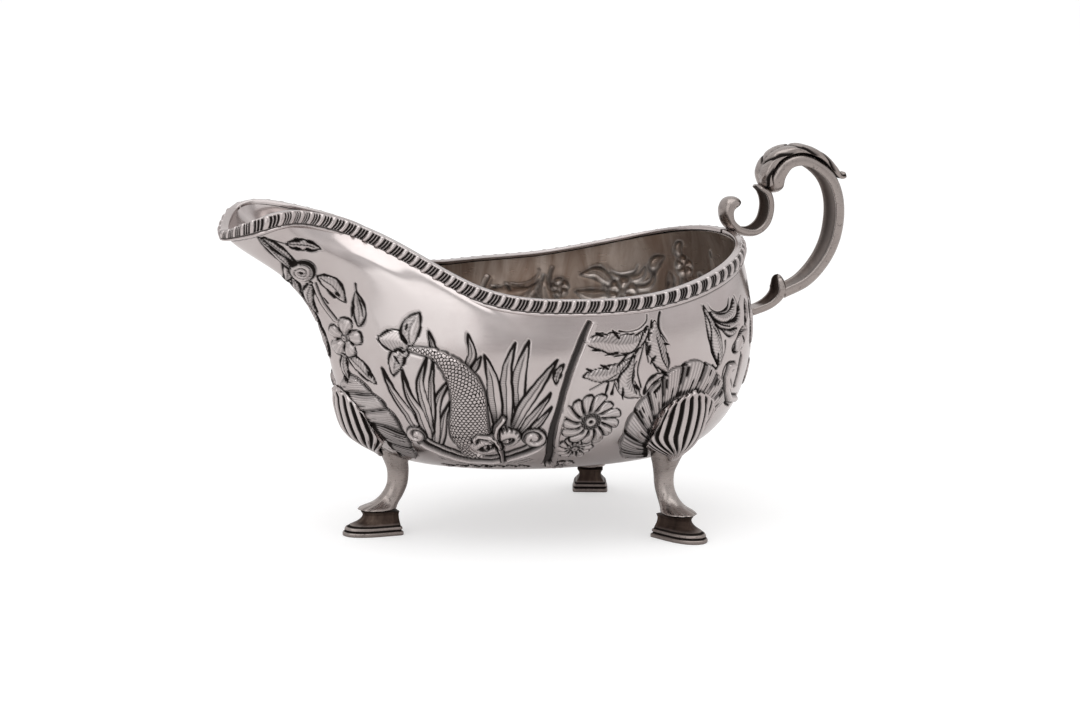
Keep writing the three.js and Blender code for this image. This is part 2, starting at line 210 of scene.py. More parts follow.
def spread_evenly(line, count):
    """Values of t from 0 to 1 at which line(t) advances by equal lengths."""
    t = np.linspace(0, 1, 2001)
    run = run_length(line(t))
    return np.interp(np.linspace(0, run[-1], count + 1), run, t)


def grid_normals(points):
    """Outward unit normals of a closed band of points [row, column]."""
    along = np.roll(points, -1, 1) - np.roll(points, 1, 1)
    return unit(np.cross(np.gradient(points, axis=0), along))


# The ornament is chased into the wall: a height and a tone at each point of the outer surface

class Wall:
    """The bowl's outer surface as a grid of points, with the relief that the chaser gives it."""

    def __init__(self):
        around = np.linspace(0, 0.5, 1001)
        waist = float(run_length(bowl_point(around, 0.3))[-1])
        half = spread_evenly(lambda t: bowl_point(t * 0.5, 0.3), int(waist / AROUND_STEP)) * 0.5
        self.turn = np.concatenate([half, 1 - half[-2:0:-1]])
        self.depth = spread_evenly(lambda t: bowl_point(0.22, t), DOWN_ROWS)
        self.points = bowl_point(self.turn[None, :], self.depth[:, None])
        self.normals = grid_normals(self.points)
        self.normals[0], self.normals[-1] = self.normals[1], (0, 0, -1)
        for grid in ("height", "dark", "hatch", "phase", "scales", "scale_run", "scale_across"):
            setattr(self, grid, np.zeros(self.points.shape[:2]))
        self.flat = self.points.reshape(-1, 3)
        self.flat_normals = self.normals.reshape(-1, 3)
        self.side = NEAR  # the side that is being worked
        self.trees = {side: self.tree(side) for side in (NEAR, FAR)}

    def tree(self, side):
        """Finds the wall's point at a place (x, z) of the side view."""
        rows, cols = np.nonzero(self.points[:, :, 1] * side > 0.05)
        keep = (rows % 2 == 0) & (rows < int(DOWN_ROWS * 0.9))
        rows, cols = rows[keep], cols[keep]
        found = kdtree.KDTree(len(rows))
        for i, (x, _, z) in enumerate(self.points[rows, cols]):
            found.insert((x, z, 0), i)
        found.balance()
        return found, self.points[rows, cols]

    def lift(self, spots):
        """Places (x, z) of the side view, or (x, y, z) of the near side, laid on the side being worked."""
        tree, points = self.trees[self.side]
        return np.array([
            (spot[0], spot[1] * -self.side, spot[2]) if len(spot) == 3
            else points[tree.find((spot[0], spot[1], 0))[1]]
            for spot in spots
        ], float)

    def line(self, spots, step=0.8):
        """A smooth line over the wall through the spots, at equal steps."""
        path = self.lift(spline(spots))
        if len(path) > 6:
            inner = (path[:-2] + path[1:-1] * 2 + path[2:]) / 4
            path = np.vstack([path[:1], inner, path[-1:]])
        return in_steps(path, step)

    def drawn(self, spots, step=0.6):
        """A short line through spots that are themselves laid on the wall."""
        return in_steps(spline(self.lift(spots)), step)

    def boxed(self, path, reach):
        """The index of the wall's points in a box round a line."""
        low, high = path.min(0) - reach, path.max(0) + reach
        return np.nonzero(np.all((self.flat > low) & (self.flat < high), axis=1))[0]

    def along(self, path, reach):
        """The wall's points near a line: their index, how far along it and to its left they are, its length,
        the share of its length, and how far past its ends."""
        index = self.boxed(path, reach)
        points = self.flat[index]
        start, step = path[:-1], np.diff(path, axis=0)
        length = np.linalg.norm(step, axis=1)
        ahead = step / length[:, None]
        share = ((points[:, None] - start) * ahead).sum(-1) / length
        low_end, high_end = np.zeros(len(length)), np.ones(len(length))
        low_end[0], high_end[-1] = -9, 9
        share = np.clip(share, low_end, high_end)
        foot = start + share[..., None] * step
        gap = np.linalg.norm(points[:, None] - foot, axis=-1)
        best = gap.argmin(1)
        pick = np.arange(len(points))
        run = np.concatenate([[0], np.cumsum(length)])
        s = run[best] + share[pick, best] * length[best]
        offset = points - foot[pick, best]
        left = np.cross(self.flat_normals[index], ahead[best])
        c = np.sign((offset * left).sum(-1)) * gap[pick, best]
        near = (gap[pick, best] < reach) & (s > -reach) & (s < run[-1] + reach)
        s, length = s[near], run[-1]
        return index[near], s, c[near], length, np.clip(s / length, 0, 1), np.maximum(-s, s - length)

    def around(self, spot, reach):
        """The wall's points near a spot: their index, distance and angle, 0 ahead and 90 degrees up."""
        centre = self.lift([spot])[0]
        gap = np.linalg.norm(self.flat - centre, axis=1)
        index = np.nonzero(gap < reach)[0]
        normal = unit(self.flat_normals[index].mean(0))
        right = unit(np.cross([0, 0, 1.0], normal))
        up = np.cross(normal, right)
        offset = self.flat[index] - centre
        return index, gap[index], np.arctan2(offset @ up, offset @ right * -self.side)

    def set_inside(self, index, cover, height, dark, hatch=0, phase=0):
        """Lays a motif over what is there, where cover is 1."""
        for grid, value in ((self.height, height), (self.dark, dark), (self.hatch, hatch), (self.scales, 0)):
            flat = grid.reshape(-1)
            flat[index] = flat[index] * (1 - cover) + value * cover
        inside = cover > 0.5
        flat = self.phase.reshape(-1)
        flat[index[inside]] = np.broadcast_to(phase, index.shape)[inside]

    def cut(self, index, strength, deep):
        """A dark groove, deepest where strength is 1."""
        flat = self.height.reshape(-1)
        flat[index] -= strength * deep
        flat = self.dark.reshape(-1)
        flat[index] = np.maximum(flat[index], np.clip(strength, 0, 1))


BORDER_FOOT = 3.9  # the border's lower edge lies this far down the wall
LINE = 0.33  # half width of a chased line
LINE_DEEP = 0.26


def leaf(wall, spots, width, raised=0.5, lobes=0, vein=True, hatch=0.5, lean=1, fat=0.45,
         line=LINE, eyes=True):
    """A pointed leaf from the first spot to the last, with an outline, a vein and hatched halves."""
    index, s, c, length, a, past = wall.along(wall.line(spots), width * 0.75 + 1.5)
    fullness = math.log(0.5) / math.log(fat)
    half = width / 2 * np.sin(np.pi * a**fullness) ** 0.75
    if lobes:
        half = half * (1 - (0.3 if eyes else 0.16) * smooth((a * lobes) % 1.0, 0.55, 1.0))
    edge = pointed_edge(past, c, half)
    share = np.clip(np.abs(c) / np.maximum(half, 0.2), 0, 1)
    height = raised * (1 - share**2.2) * smooth(a, -0.1, 0.25)
    one_side = smooth(c * lean, -0.2, 0.2)
    wall.set_inside(index, within(edge), height, 0.07 + 0.13 * one_side, hatch * (0.55 + 0.45 * one_side),
                    s * 0.8 + np.abs(c) * 0.6)
    swell = 0.65 + 0.85 * np.abs(np.sin(a * 6.0 + width)) ** 2
    wall.cut(index, np.clip(1.35 * bump(edge, line * swell), 0, 1), LINE_DEEP)
    if vein:
        wall.cut(index, 0.8 * bump(c, line * 0.65) * smooth(a, 0.02, 0.1) * (1 - smooth(a, 0.75, 0.92)), 0.25)
    if lobes and eyes:
        for at in (k / lobes for k in range(1, lobes)):
            out = width / 2 * math.sin(math.pi * at**fullness) ** 0.75 * 0.86
            for hand in (-1, 1):
                eye = np.hypot((a - at) * length * 0.5, (c - hand * out) * 1.15)
                wall.cut(index, 1.3 * (1 - smooth(eye, 0.35, 0.75)), 0.5)


def blade(wall, spots, width):
    """A reed: open at its root, widest a third of the way up, drawn out to a point."""
    index, s, c, length, a, _ = wall.along(wall.line(spots), width * 0.6 + 1.5)
    half = width / 2 * (0.62 + 0.38 * smooth(a, 0, 0.4)) * (1 - a**2.4) ** 0.9
    edge = pointed_edge(np.maximum(-s - 0.3, s - length), c, half)
    share = np.clip(c / np.maximum(half, 0.2), -1, 1)
    height = 0.45 * (1 - share**2) * smooth(a, -0.1, 0.3)
    one_side = smooth(share, -0.1, 0.1)
    tone = 0.10 + 0.12 * one_side + 0.45 * (1 - smooth(a, 0.0, 0.3))
    wall.set_inside(index, within(edge), height, tone, 0.45 * one_side, s * 1.35)
    swell = 0.75 + 0.35 * np.sin(a * 5.0 + width * 3 + np.sign(c)) + 0.5 * smooth(a, 0.6, 0.95)
    live = s > -0.4
    wall.cut(index, np.clip(1.6 * bump(edge, LINE * swell), 0, 1) * live, LINE_DEEP)
    wall.cut(index, 0.9 * bump(c, LINE * 0.6) * live * (1 - smooth(a, 0.7, 0.9)), 0.2)


def flower(wall, spot, radius, petals, swirl=0.25, raised=0.8, button=0.2, start=0.0, notch=0.16):
    """Rounded petals with dark slits between them, a dark ring and a button in the middle."""
    index, r, angle = wall.around(spot, radius * 1.25)
    share = r / radius
    turned = (angle + start + swirl * share) * petals / (2 * math.pi)
    across = np.abs((turned % 1.0) - 0.5) * 2  # 0 in the middle of a petal, 1 between two
    reach = (0.94 + 0.06 * np.sin(np.floor(turned) * 2.4)) * (1 - notch * across**3)
    edge = (share - reach) * radius
    dome = raised * (1 - across**2.4) * smooth(share, button * 0.8, 0.5)
    dome = dome * (1 - 0.55 * smooth(share, 0.6, 1.0))
    wall.set_inside(index, within(edge), dome, 0.08 + 0.10 * smooth(across, 0.2, 0.9), 0.4, across * 2.2)
    wall.cut(index, bump(edge, LINE * 1.1), LINE_DEEP)
    gap = (1 - across) * r * math.pi / petals
    wall.cut(index, bump(gap, LINE * 0.8) * smooth(share, button, button * 1.6) * within(edge, 0, 0.3), 0.4)
    tear = smooth(share, button * 1.2, 0.42) * (1 - smooth(share, 0.45, 0.62))
    wall.cut(index, 1.1 * bump(gap, LINE * 1.5) * tear, 0.35)
    ring = button * radius
    stipple = np.sin(angle * 14) * np.sin(r * 2 * math.pi / 0.9)
    wall.set_inside(index, within(r, ring * 1.2, ring * 1.42), 0.3, 0.8 + 0.2 * stipple)
    wall.set_inside(index, bump(r - ring * 0.45, max(ring * 0.15, 0.22)), 0.7, 0.04)
    wall.set_inside(index, within(r, ring * 0.12, ring * 0.26), 0.1, 1.0)


def rose(wall, spot, radius):
    """A rolled rose seen from above: petals wound round a dark eye."""
    index, r, angle = wall.around(spot, radius * 1.6)
    ring = r / radius
    wind = (ring * 3.0 - angle / (2 * math.pi) + 0.3) % 1.0
    line = bump(wind - 0.5, 0.15) * smooth(ring, 0.2, 0.34)
    height = 1.1 - 0.6 * ring + 0.25 * np.cos(2 * math.pi * wind)
    wall.set_inside(index, within(ring, 0.97, 1.05), height, 0.08 + 0.85 * line)
    wall.set_inside(index, within(ring, 0.14, 0.24), 0.3, 1.0)
    broad = LINE * (1.1 + 0.5 * np.cos(angle - 0.7))
    wall.cut(index, np.clip(1.4 * bump(r - radius, broad), 0, 1), LINE_DEEP)
    wall.cut(index, bump(ring - 1.2, 0.07) * bump(np.angle(np.exp(1j * (angle - 0.7))), 0.75), LINE_DEEP)


def stem(wall, spots, width=1.0, raised=0.5):
    """A round stalk between two dark lines."""
    index, _, c, _, _, past = wall.along(wall.line(spots), width + 1.5)
    inside = past < 0.2
    edge = np.abs(c) - width / 2
    wall.set_inside(index, within(edge, -0.1, 0.15) * inside, raised * round_top(2 * c / width), 0.05)
    wall.cut(index, bump(edge - 0.2, LINE * 0.9) * inside, LINE_DEEP)


def brush(wall, strokes):
    """Dark strokes of the tool: each is its spots and its widths from start to end."""
    for spots, widths in strokes:
        index, _, c, _, a, past = wall.along(wall.drawn(spots), max(widths) * 0.6 + 0.9)
        half = np.interp(a, np.linspace(0, 1, len(widths)), widths) * 0.44
        wall.cut(index, within(rounded_edge(past, c, half), -0.18, 0.18), 0.42)


def drop(wall, spots, width):
    """A dark tear-shaped hollow."""
    index, _, c, _, a, past = wall.along(wall.line(spots), width + 1.0)
    half = width / 2 * np.sin(np.pi * a**0.7) ** 0.6
    wall.cut(index, within(pointed_edge(past, c, half), -0.15, 0.35), 0.5)


def scroll_line(wall, spots, width, raised, dark_side=0):
    """A raised rib with dark lines on both sides, for C-scrolls. Three-number spots are on the near side."""
    path = wall.line(spots) if len(spots[0]) == 2 else np.array(spots)
    index, _, c, _, _, past = wall.along(path, width / 2 + 3.6)
    half = width / 2
    edge = rounded_edge(past, c, half)
    wall.set_inside(index, within(edge, -0.15, 0.15), raised * round_top(c / half), 0.04)
    wall.cut(index, bump(edge - 0.2, LINE), LINE_DEEP)
    if dark_side:
        over, inside = c * dark_side - half, past < 0
        wall.set_inside(index, smooth(over, 0.05, 0.3) * within(over, 1.9, 2.2) * inside, -0.3, 0.84)
        wall.set_inside(index, 0.9 * bump(over - 1.3, 0.14) * inside, 0.0, 0.55)
        wall.set_inside(index, smooth(over, 2.05, 2.2) * within(over, 2.6, 2.75) * inside, 0.7, 0.03)
        wall.cut(index, bump(over - 2.9, LINE) * inside, LINE_DEEP)


def volute(wall, spot, radius, turns, hand, start):
    """The curled end of a scroll: a rib wound inwards round a button."""
    index, r, angle = wall.around(spot, radius * 1.35)
    wind = (r / radius * turns + hand * (angle - start) / (2 * math.pi)) % 1.0
    rib = 1 - np.abs(wind * 2 - 1)
    height = 0.3 + 1.0 * smooth(rib, 0.1, 0.7) * (1.15 - 0.3 * r / radius)
    groove = within(rib, 0.16, 0.5) * within(r, radius * 0.9, radius)
    wall.set_inside(index, within(r - radius, -0.1, 0.3), height, 0.04 + 0.8 * groove)
    wall.set_inside(index, within(r, radius * 0.16, radius * 0.3), 1.3, 0.03)
    wall.cut(index, bump(r - radius - 0.15, LINE), LINE_DEEP)


def deep_groove(wall, spots, width):
    """The raked flute that parts the two panels of the side: a dark channel with a bright lip behind it."""
    index, _, c, _, a, past = wall.along(wall.line(spots), width * 1.3 + 1)
    half = width / 2 * profile([(0, 0.5), (0.12, 0.74), (0.5, 0.72), (0.8, 0.95), (1, 1.05)], a)[0]
    past = np.maximum(past, 0)
    hollow = within(np.hypot(past * 1.6, c) - half, -0.5, 0.25)
    sides = smooth(np.abs(c) / half, 0.45, 0.9)
    wall.set_inside(index, hollow, -1.25 * round_top(c / (half + 0.3)), 0.8 + 0.2 * sides)
    wall.set_inside(index, bump(c * -wall.side - half - 0.75, 0.55) * within(past, 0, 1), 0.45, 0.0)


SCALE_WIDE, SCALE_LONG = 1.30, 1.56  # across a scale, and along the fish from scale to scale


def fish(wall, spine, widths):
    """A scaled fish that dives into the scroll below it."""
    index, s, c, _, a, past = wall.along(wall.line(spine), 8.5)
    half = np.interp(a, np.linspace(0, 1, len(widths)), widths) / 2
    edge = rounded_edge(past, c, half)
    share = np.clip(c / np.maximum(half, 0.3), -1, 1)
    spread = np.arcsin(share) * half
    wave = np.cos(4 * math.pi * (s / SCALE_LONG + 0.1)) * np.cos(2 * math.pi * spread / SCALE_WIDE)
    plump = 0.5 + 0.5 * wave
    wall.set_inside(index, within(edge), 1.6 * round_top(share) * smooth(a, 0, 0.35) + 0.2 * plump, 0.03)
    scaly = smooth(-edge, 0.1, 0.35)
    for grid, value in ((wall.scale_run, s), (wall.scale_across, spread), (wall.scales, scaly)):
        grid.reshape(-1)[index] = value
    wall.cut(index, 0.85 * bump(edge - 0.1, LINE * 1.2), 0.45)


def dome(wall, spot, across, tall, lean, raised, tone, rim=0.0):
    """A raised oval."""
    index, r, angle = wall.around(spot, across * 1.4)
    x, y = r * np.cos(angle - lean), r * np.sin(angle - lean)
    oval = np.hypot(x / across, y / tall)
    wall.set_inside(index, within(oval, 0.94, 1.06), raised * round_top(oval) + 0.4, tone)
    if rim:
        wall.cut(index, bump((oval - 1) * min(across, tall), rim), 0.3)
    return index, x, y, oval


def fish_head(wall):
    """The head: two domed cheeks, almond eyes, a curled brow and a snout that ends in a knot."""
    index, x, y, oval = dome(wall, (-28.2, 30.7), 5.2, 3.3, -0.12, 1.5, 0.1)
    speck = np.sin(x * 5.4 + 1.0) * np.sin(y * 6.2)
    wall.cut(index, 0.7 * smooth(speck, 0.45, 0.8) * (oval < 0.95), 0.1)
    dome(wall, (-28.3, 30.9), 1.9, 0.8, 0.2, 1.3, 0.05, 0.3)
    dome(wall, (-28.1, 30.9), 0.6, 0.5, 0.0, 1.5, 1.0)
    index, x, y, oval = dome(wall, (-23.3, 33.7), 3.7, 3.3, 0.4, 1.7, 0.08, 0.3)
    bead = smooth(oval, 0.62, 0.8) * smooth(np.sin(np.arctan2(y, x) * 13), -0.2, 0.5)
    wall.cut(index, 0.75 * (1 - bead) * smooth(oval, 0.66, 0.8) * (oval < 0.98), 0.25)
    dome(wall, (-23.4, 33.4), 2.1, 1.05, 0.5, 1.2, 0.55, 0.3)
    dome(wall, (-23.2, 33.5), 0.9, 0.5, 0.5, 1.5, 0.05)
    dome(wall, (-22.9, 33.8), 0.4, 0.4, 0.0, 1.4, 1.0)
    for spots, width in HEAD_BANDS:
        scroll_line(wall, spots, width, 2.0)
    brush(wall, HEAD_STROKES)


def strip(wall, inner, outer, count=80):
    """The wall's points between two lines: their index, and their shares along the lines and across."""
    near_line, far_line = evenly(wall.line(inner), count), evenly(wall.line(outer), count)
    middle, across = (near_line + far_line) / 2, far_line - near_line
    wide = np.linalg.norm(across, axis=1)
    reach = wide.max() / 2 + 1.5
    index = wall.boxed(middle, reach)
    points = wall.flat[index]
    across = across / wide[:, None]
    ahead = unit(np.gradient(middle, axis=0))
    plane = unit(ahead - (ahead * across).sum(-1, keepdims=True) * across)
    offset = points[:, None] - middle
    past, gap = (offset * plane).sum(-1), np.linalg.norm(offset, axis=-1)
    cost = np.where((past[:, :-1] >= 0) & (past[:, 1:] < 0), gap[:, :-1], 1e9)
    k = cost.argmin(1)
    found = np.nonzero(cost[np.arange(len(k)), k] < reach)[0]
    k = k[found]
    t = past[found, k] / (past[found, k] - past[found, k + 1])
    foot = near_line[k] * (1 - t)[:, None] + near_line[k + 1] * t[:, None]
    q = ((points[found] - foot) * across[k]).sum(-1) / (wide[k] * (1 - t) + wide[k + 1] * t)
    return index[found], (k + t) / count, q, wide.mean()


def ruffle(wall, inner, outer, folds, skew=0.1, comb=7.0, low_shade=0.0, start_shade=0.0, bars=1.3, rim=0.75):
    """The frilled border chased round a knee shell, between an inner and an outer line."""
    index, a, q, wide = strip(wall, inner, outer)
    turn = a * folds + 0.14 * np.sin(a * 15.0) - skew * (q - 0.5) * 2
    place, which = turn % 1.0, np.floor(turn)
    scallop = 0.08 * np.sin(math.pi * place) - 0.05
    cover = smooth(q, -0.2, -0.05) * within(q, 0.95 + scallop, 1.0 + scallop)
    swell = smooth(place, 0.0, 0.4) * within(place, 0.8, 1.0)
    # painted shade: each fold is darker at its start and end, a painted shadow band runs along the inner edge
    # next to the shell, and low_shade and start_shade darken the later and the first parts of the frill
    shade = 0.34 * within(place, 0.0, 0.3) + 0.2 * smooth(place, 0.82, 1.0)
    tone = 0.10 + shade + 0.6 * within(q, 0.02, 0.16) + low_shade * smooth(a, 0.35, 0.75)
    tone = tone + start_shade * within(a, 0.1, 0.32)
    height = 0.2 + 0.8 * swell + 0.3 * np.sin(math.pi * np.clip(q, 0, 1))
    wall.set_inside(index, cover, height, np.clip(tone, 0, 1), 1.05 - 0.35 * swell, turn * comb * 0.85)
    wall.cut(index, rim * bump((q - 0.99 - scallop) * wide, LINE * 0.8), 0.35)
    # dark bars in each fold, chased grooves that also stand as painted shade of the fold: where across it,
    # how wide, from where to where outwards, and in which folds
    dark = [0.9 * bump(place - 0.62, 0.05) * within(q, 0.3, 0.5)]
    for at, broad, start, full, end, gone, chosen in (
        (0.07, 0.06, 0.22, 0.4, 0.86, 0.92, True),
        (0.25, 0.045, 0.46, 0.6, 0.84, 0.9, np.cos(which * 2.2) > -0.3),
        (0.45, 0.04, 0.6, 0.7, 0.84, 0.9, np.cos(which * 1.7) > 0.2),
    ):
        dark.append(bump(place - at, broad) * smooth(q, start, full) * within(q, end, gone) * chosen)
    wall.cut(index, np.clip(bars * np.max(dark, 0), 0, 1), 0.4)
    notch = bump(place - 0.07, 0.1) * bump((q - 0.97 - scallop) * wide, 0.5)
    wall.cut(index, np.clip(bars * 1.2 * notch, 0, 1), 0.3)


# Ornament that both sides share. Spots are (x, z) of the side view, in millimetres.

PANEL_GROOVE = [(-2.5, 68), (-5.5, 61.5), (-8.5, 53.5), (-10.5, 44), (-11.5, 33.5), (-8.5, 23)]
ACANTHUS_LEAVES = [
    ([(11, 57.5), (7, 54.2), (2.5, 52.6), (-4.8, 52.2)], 4.8, 3, -1),
    ([(10.5, 57), (8.6, 52.5), (8.6, 48.6), (13.6, 45)], 5.8, 2, 1),
    ([(15.5, 66), (12.4, 62.2), (7.5, 61), (2.5, 61.8), (-4.2, 62.4)], 6.4, 4, -1),
    ([(17.4, 67.5), (17.2, 63), (18.4, 58), (21.2, 52)], 6.0, 3, 1),
]
ACANTHUS_STROKES = [
    ([(15, 69), (14.8, 67.4), (13.2, 65.8), (11.6, 64.8), (8.6, 64.4),
     (6, 65)], [0.35, 0.45, 0.4, 0.35, 0.3, 0.6]), ([(15, 65.8), (14, 64.2)], [0.6, 1.0, 0.7]),
    ([(13.4, 64), (12.4, 62), (10, 58.6), (4.6, 57.4)], [0.4, 0.6, 0.6, 0.45]),
    ([(16.6, 67.2), (16.4, 65)], [0.6, 0.95, 0.4]),
    ([(16, 64), (14.6, 62.4), (14.5, 59), (15.2, 55.4)], [0.4, 0.5, 0.6, 0.4]),
    ([(14, 61.5), (13, 57.5), (12, 53), (13.4, 48)], [0.4, 0.55, 0.5, 0.6]),
    ([(11.6, 56), (10.4, 53.6), (10.2, 50.6), (11.4, 46.6)], [0.3, 0.5, 0.45, 0.3]),
    ([(12.2, 59.7), (11, 58)], [0.7, 0.95, 0.7]),
    ([(10.6, 58), (8.6, 54.6), (6.2, 51.6), (6.2, 48)], [0.5, 0.65, 0.55, 0.3]),
    ([(8.6, 58), (7.2, 56.6), (5.4, 54.9)], [1.0, 0.7, 0.3]),
    ([(5.6, 53), (2, 50.2), (-2.4, 48)], [0.3, 0.4, 0.4]),
    ([(3.2, 50.2), (2.4, 46.4)], [0.4, 0.9, 1.0, 0.5]), ([(5.1, 51), (4.4, 46.6)], [0.3, 0.45, 0.6, 1.3]),
    ([(7.4, 48.6), (8, 44.4)], [0.4, 0.9, 0.4]), ([(4.2, 65.2), (6, 63)], [0.4, 1.1, 0.8]),
    ([(-0.8, 64.6), (1, 63.6)], [0.7, 1.0, 0.7]), ([(-2, 60), (0.2, 59.6)], [0.5, 0.9, 0.8]),
    ([(5.4, 58.8), (1.8, 58)], [1.1, 0.8, 0.3]), ([(0.4, 55.2), (2.6, 54.2)], [0.4, 1.1, 0.4]),
    ([(-3.6, 54.2), (-2.4, 53.8)], [0.6, 0.8]),
    ([(19.2, 69.4), (18.6, 67), (19, 64.5), (21.4, 61)], [0.9, 1.0, 0.6, 0.3]),
    ([(20, 60.6), (22, 60)], [0.3, 1.1, 0.3]),
    ([(20.8, 57.8), (22, 55), (21.6, 52.4)], [0.4, 1.0, 0.9, 0.4]),
    ([(17.4, 62.6), (18.4, 59.5), (19.5, 56), (21, 53.4)], [0.25, 0.4, 0.45, 0.3]),
    ([(15.6, 60), (15, 57.8)], [0.7, 1.0, 0.8]), ([(17.2, 57), (16, 54.8)], [0.5, 1.1, 0.4]),
    ([(17, 54.6), (18.6, 52.4)], [0.3, 0.5]), ([(20, 52.6), (21, 51.4)], [0.7, 0.9]),
    ([(19.2, 48.6), (17.4, 46.4)], [0.9, 1.1]), ([(11.4, 48.6), (13, 47.4)], [1.1, 0.7]),
]


def acanthus_panel(wall):
    """Acanthus sprays and flowers behind the groove, and the groove itself."""
    for spots, width, lobes, lean in ACANTHUS_LEAVES:
        leaf(wall, spots, width, 0.85, lobes, False, 0.9, lean, 0.55, 0.16, eyes=False)
    leaf(wall, [(20.8, 51.6), (17, 50), (14.4, 46.2)], 2.0, 0.5, vein=False, hatch=0.4)
    brush(wall, ACANTHUS_STROKES)
    flower(wall, (-4.2, 22.5), 4.6, 9, 0.2, 0.6, 0.2)
    flower(wall, (-3.6, 29.6), 6.0, 12, 0.3, 0.7, 0.22)
    flower(wall, (-1.0, 38.6), 9.3, 13, 0.5, 1.1, 0.25)
    deep_groove(wall, PANEL_GROOVE, 2.7)


def spout_spray(wall):
    """Rose, leaves and a five-petalled flower down the side of the spout."""
    for x, z, reach in ((-80, 79.5, 3.0), (-76, 72.5, 3.2), (-73, 64.5, 3.4), (-70.5, 57, 3.4)):
        leaf(wall, [(x - 3, z + 6), (x - 1, z + 2.5), (x + 0.5, z - 4)], reach, 0.4)
    leaf(wall, [(-91, 91.6), (-84, 85.5), (-78.5, 80)], 2.6, 0.4)
    leaf(wall, [(-90, 91.8), (-84.5, 87.8), (-79, 83)], 2.4, 0.4)
    leaf(wall, [(-83, 89.7), (-77.5, 89), (-72.2, 87.6)], 3.2, 0.4, lobes=3)
    brush(wall, [([(-89.6, 92.2), (-86, 90.6), (-82.6, 89.8)], [0.3, 0.45, 0.35]),
                 ([(-90, 91.6), (-85, 87.6), (-80, 83.8)], [0.3, 0.5, 0.7])])
    leaf(wall, [(-74, 77.2), (-74, 72.5), (-71, 67.5)], 3.4, 0.5)
    leaf(wall, [(-73, 79.5), (-68.5, 76.5), (-65, 71.5)], 4.4, 0.6, hatch=0.4)
    drop(wall, [(-67.6, 74.6), (-66.6, 73.2)], 0.9)
    stem(wall, [(-73.5, 77), (-70.8, 71.5), (-67.3, 66.2)], 1.0)
    rose(wall, (-77, 80.6), 3.7)
    leaf(wall, [(-64.5, 56), (-64.2, 51.5), (-62.6, 47.5)], 3.0, 0.4)
    leaf(wall, [(-64, 56), (-61, 52.5), (-57.6, 48)], 4.0, 0.5, hatch=0.4)
    drop(wall, [(-59.6, 51.6), (-58.6, 50.2)], 0.8)
    leaf(wall, [(-62, 64.5), (-61.6, 69), (-62.6, 75)], 3.8, 0.5, hatch=0.2)
    drop(wall, [(-63.2, 71), (-63.6, 67.5)], 1.0)
    brush(wall, [([(-62.6, 77.4), (-62.4, 75), (-61.2, 71), (-60.8, 68)], [0.8, 0.4, 0.7, 0.4]),
                 ([(-69.6, 74.4), (-68, 73.2)], [0.5, 0.8]), ([(-70.6, 72.8), (-69.4, 71)], [0.4, 0.7])])
    flower(wall, (-65, 61.2), 6.6, 5, 0.12, 1.1, 0.15, start=0.4, notch=0.5)


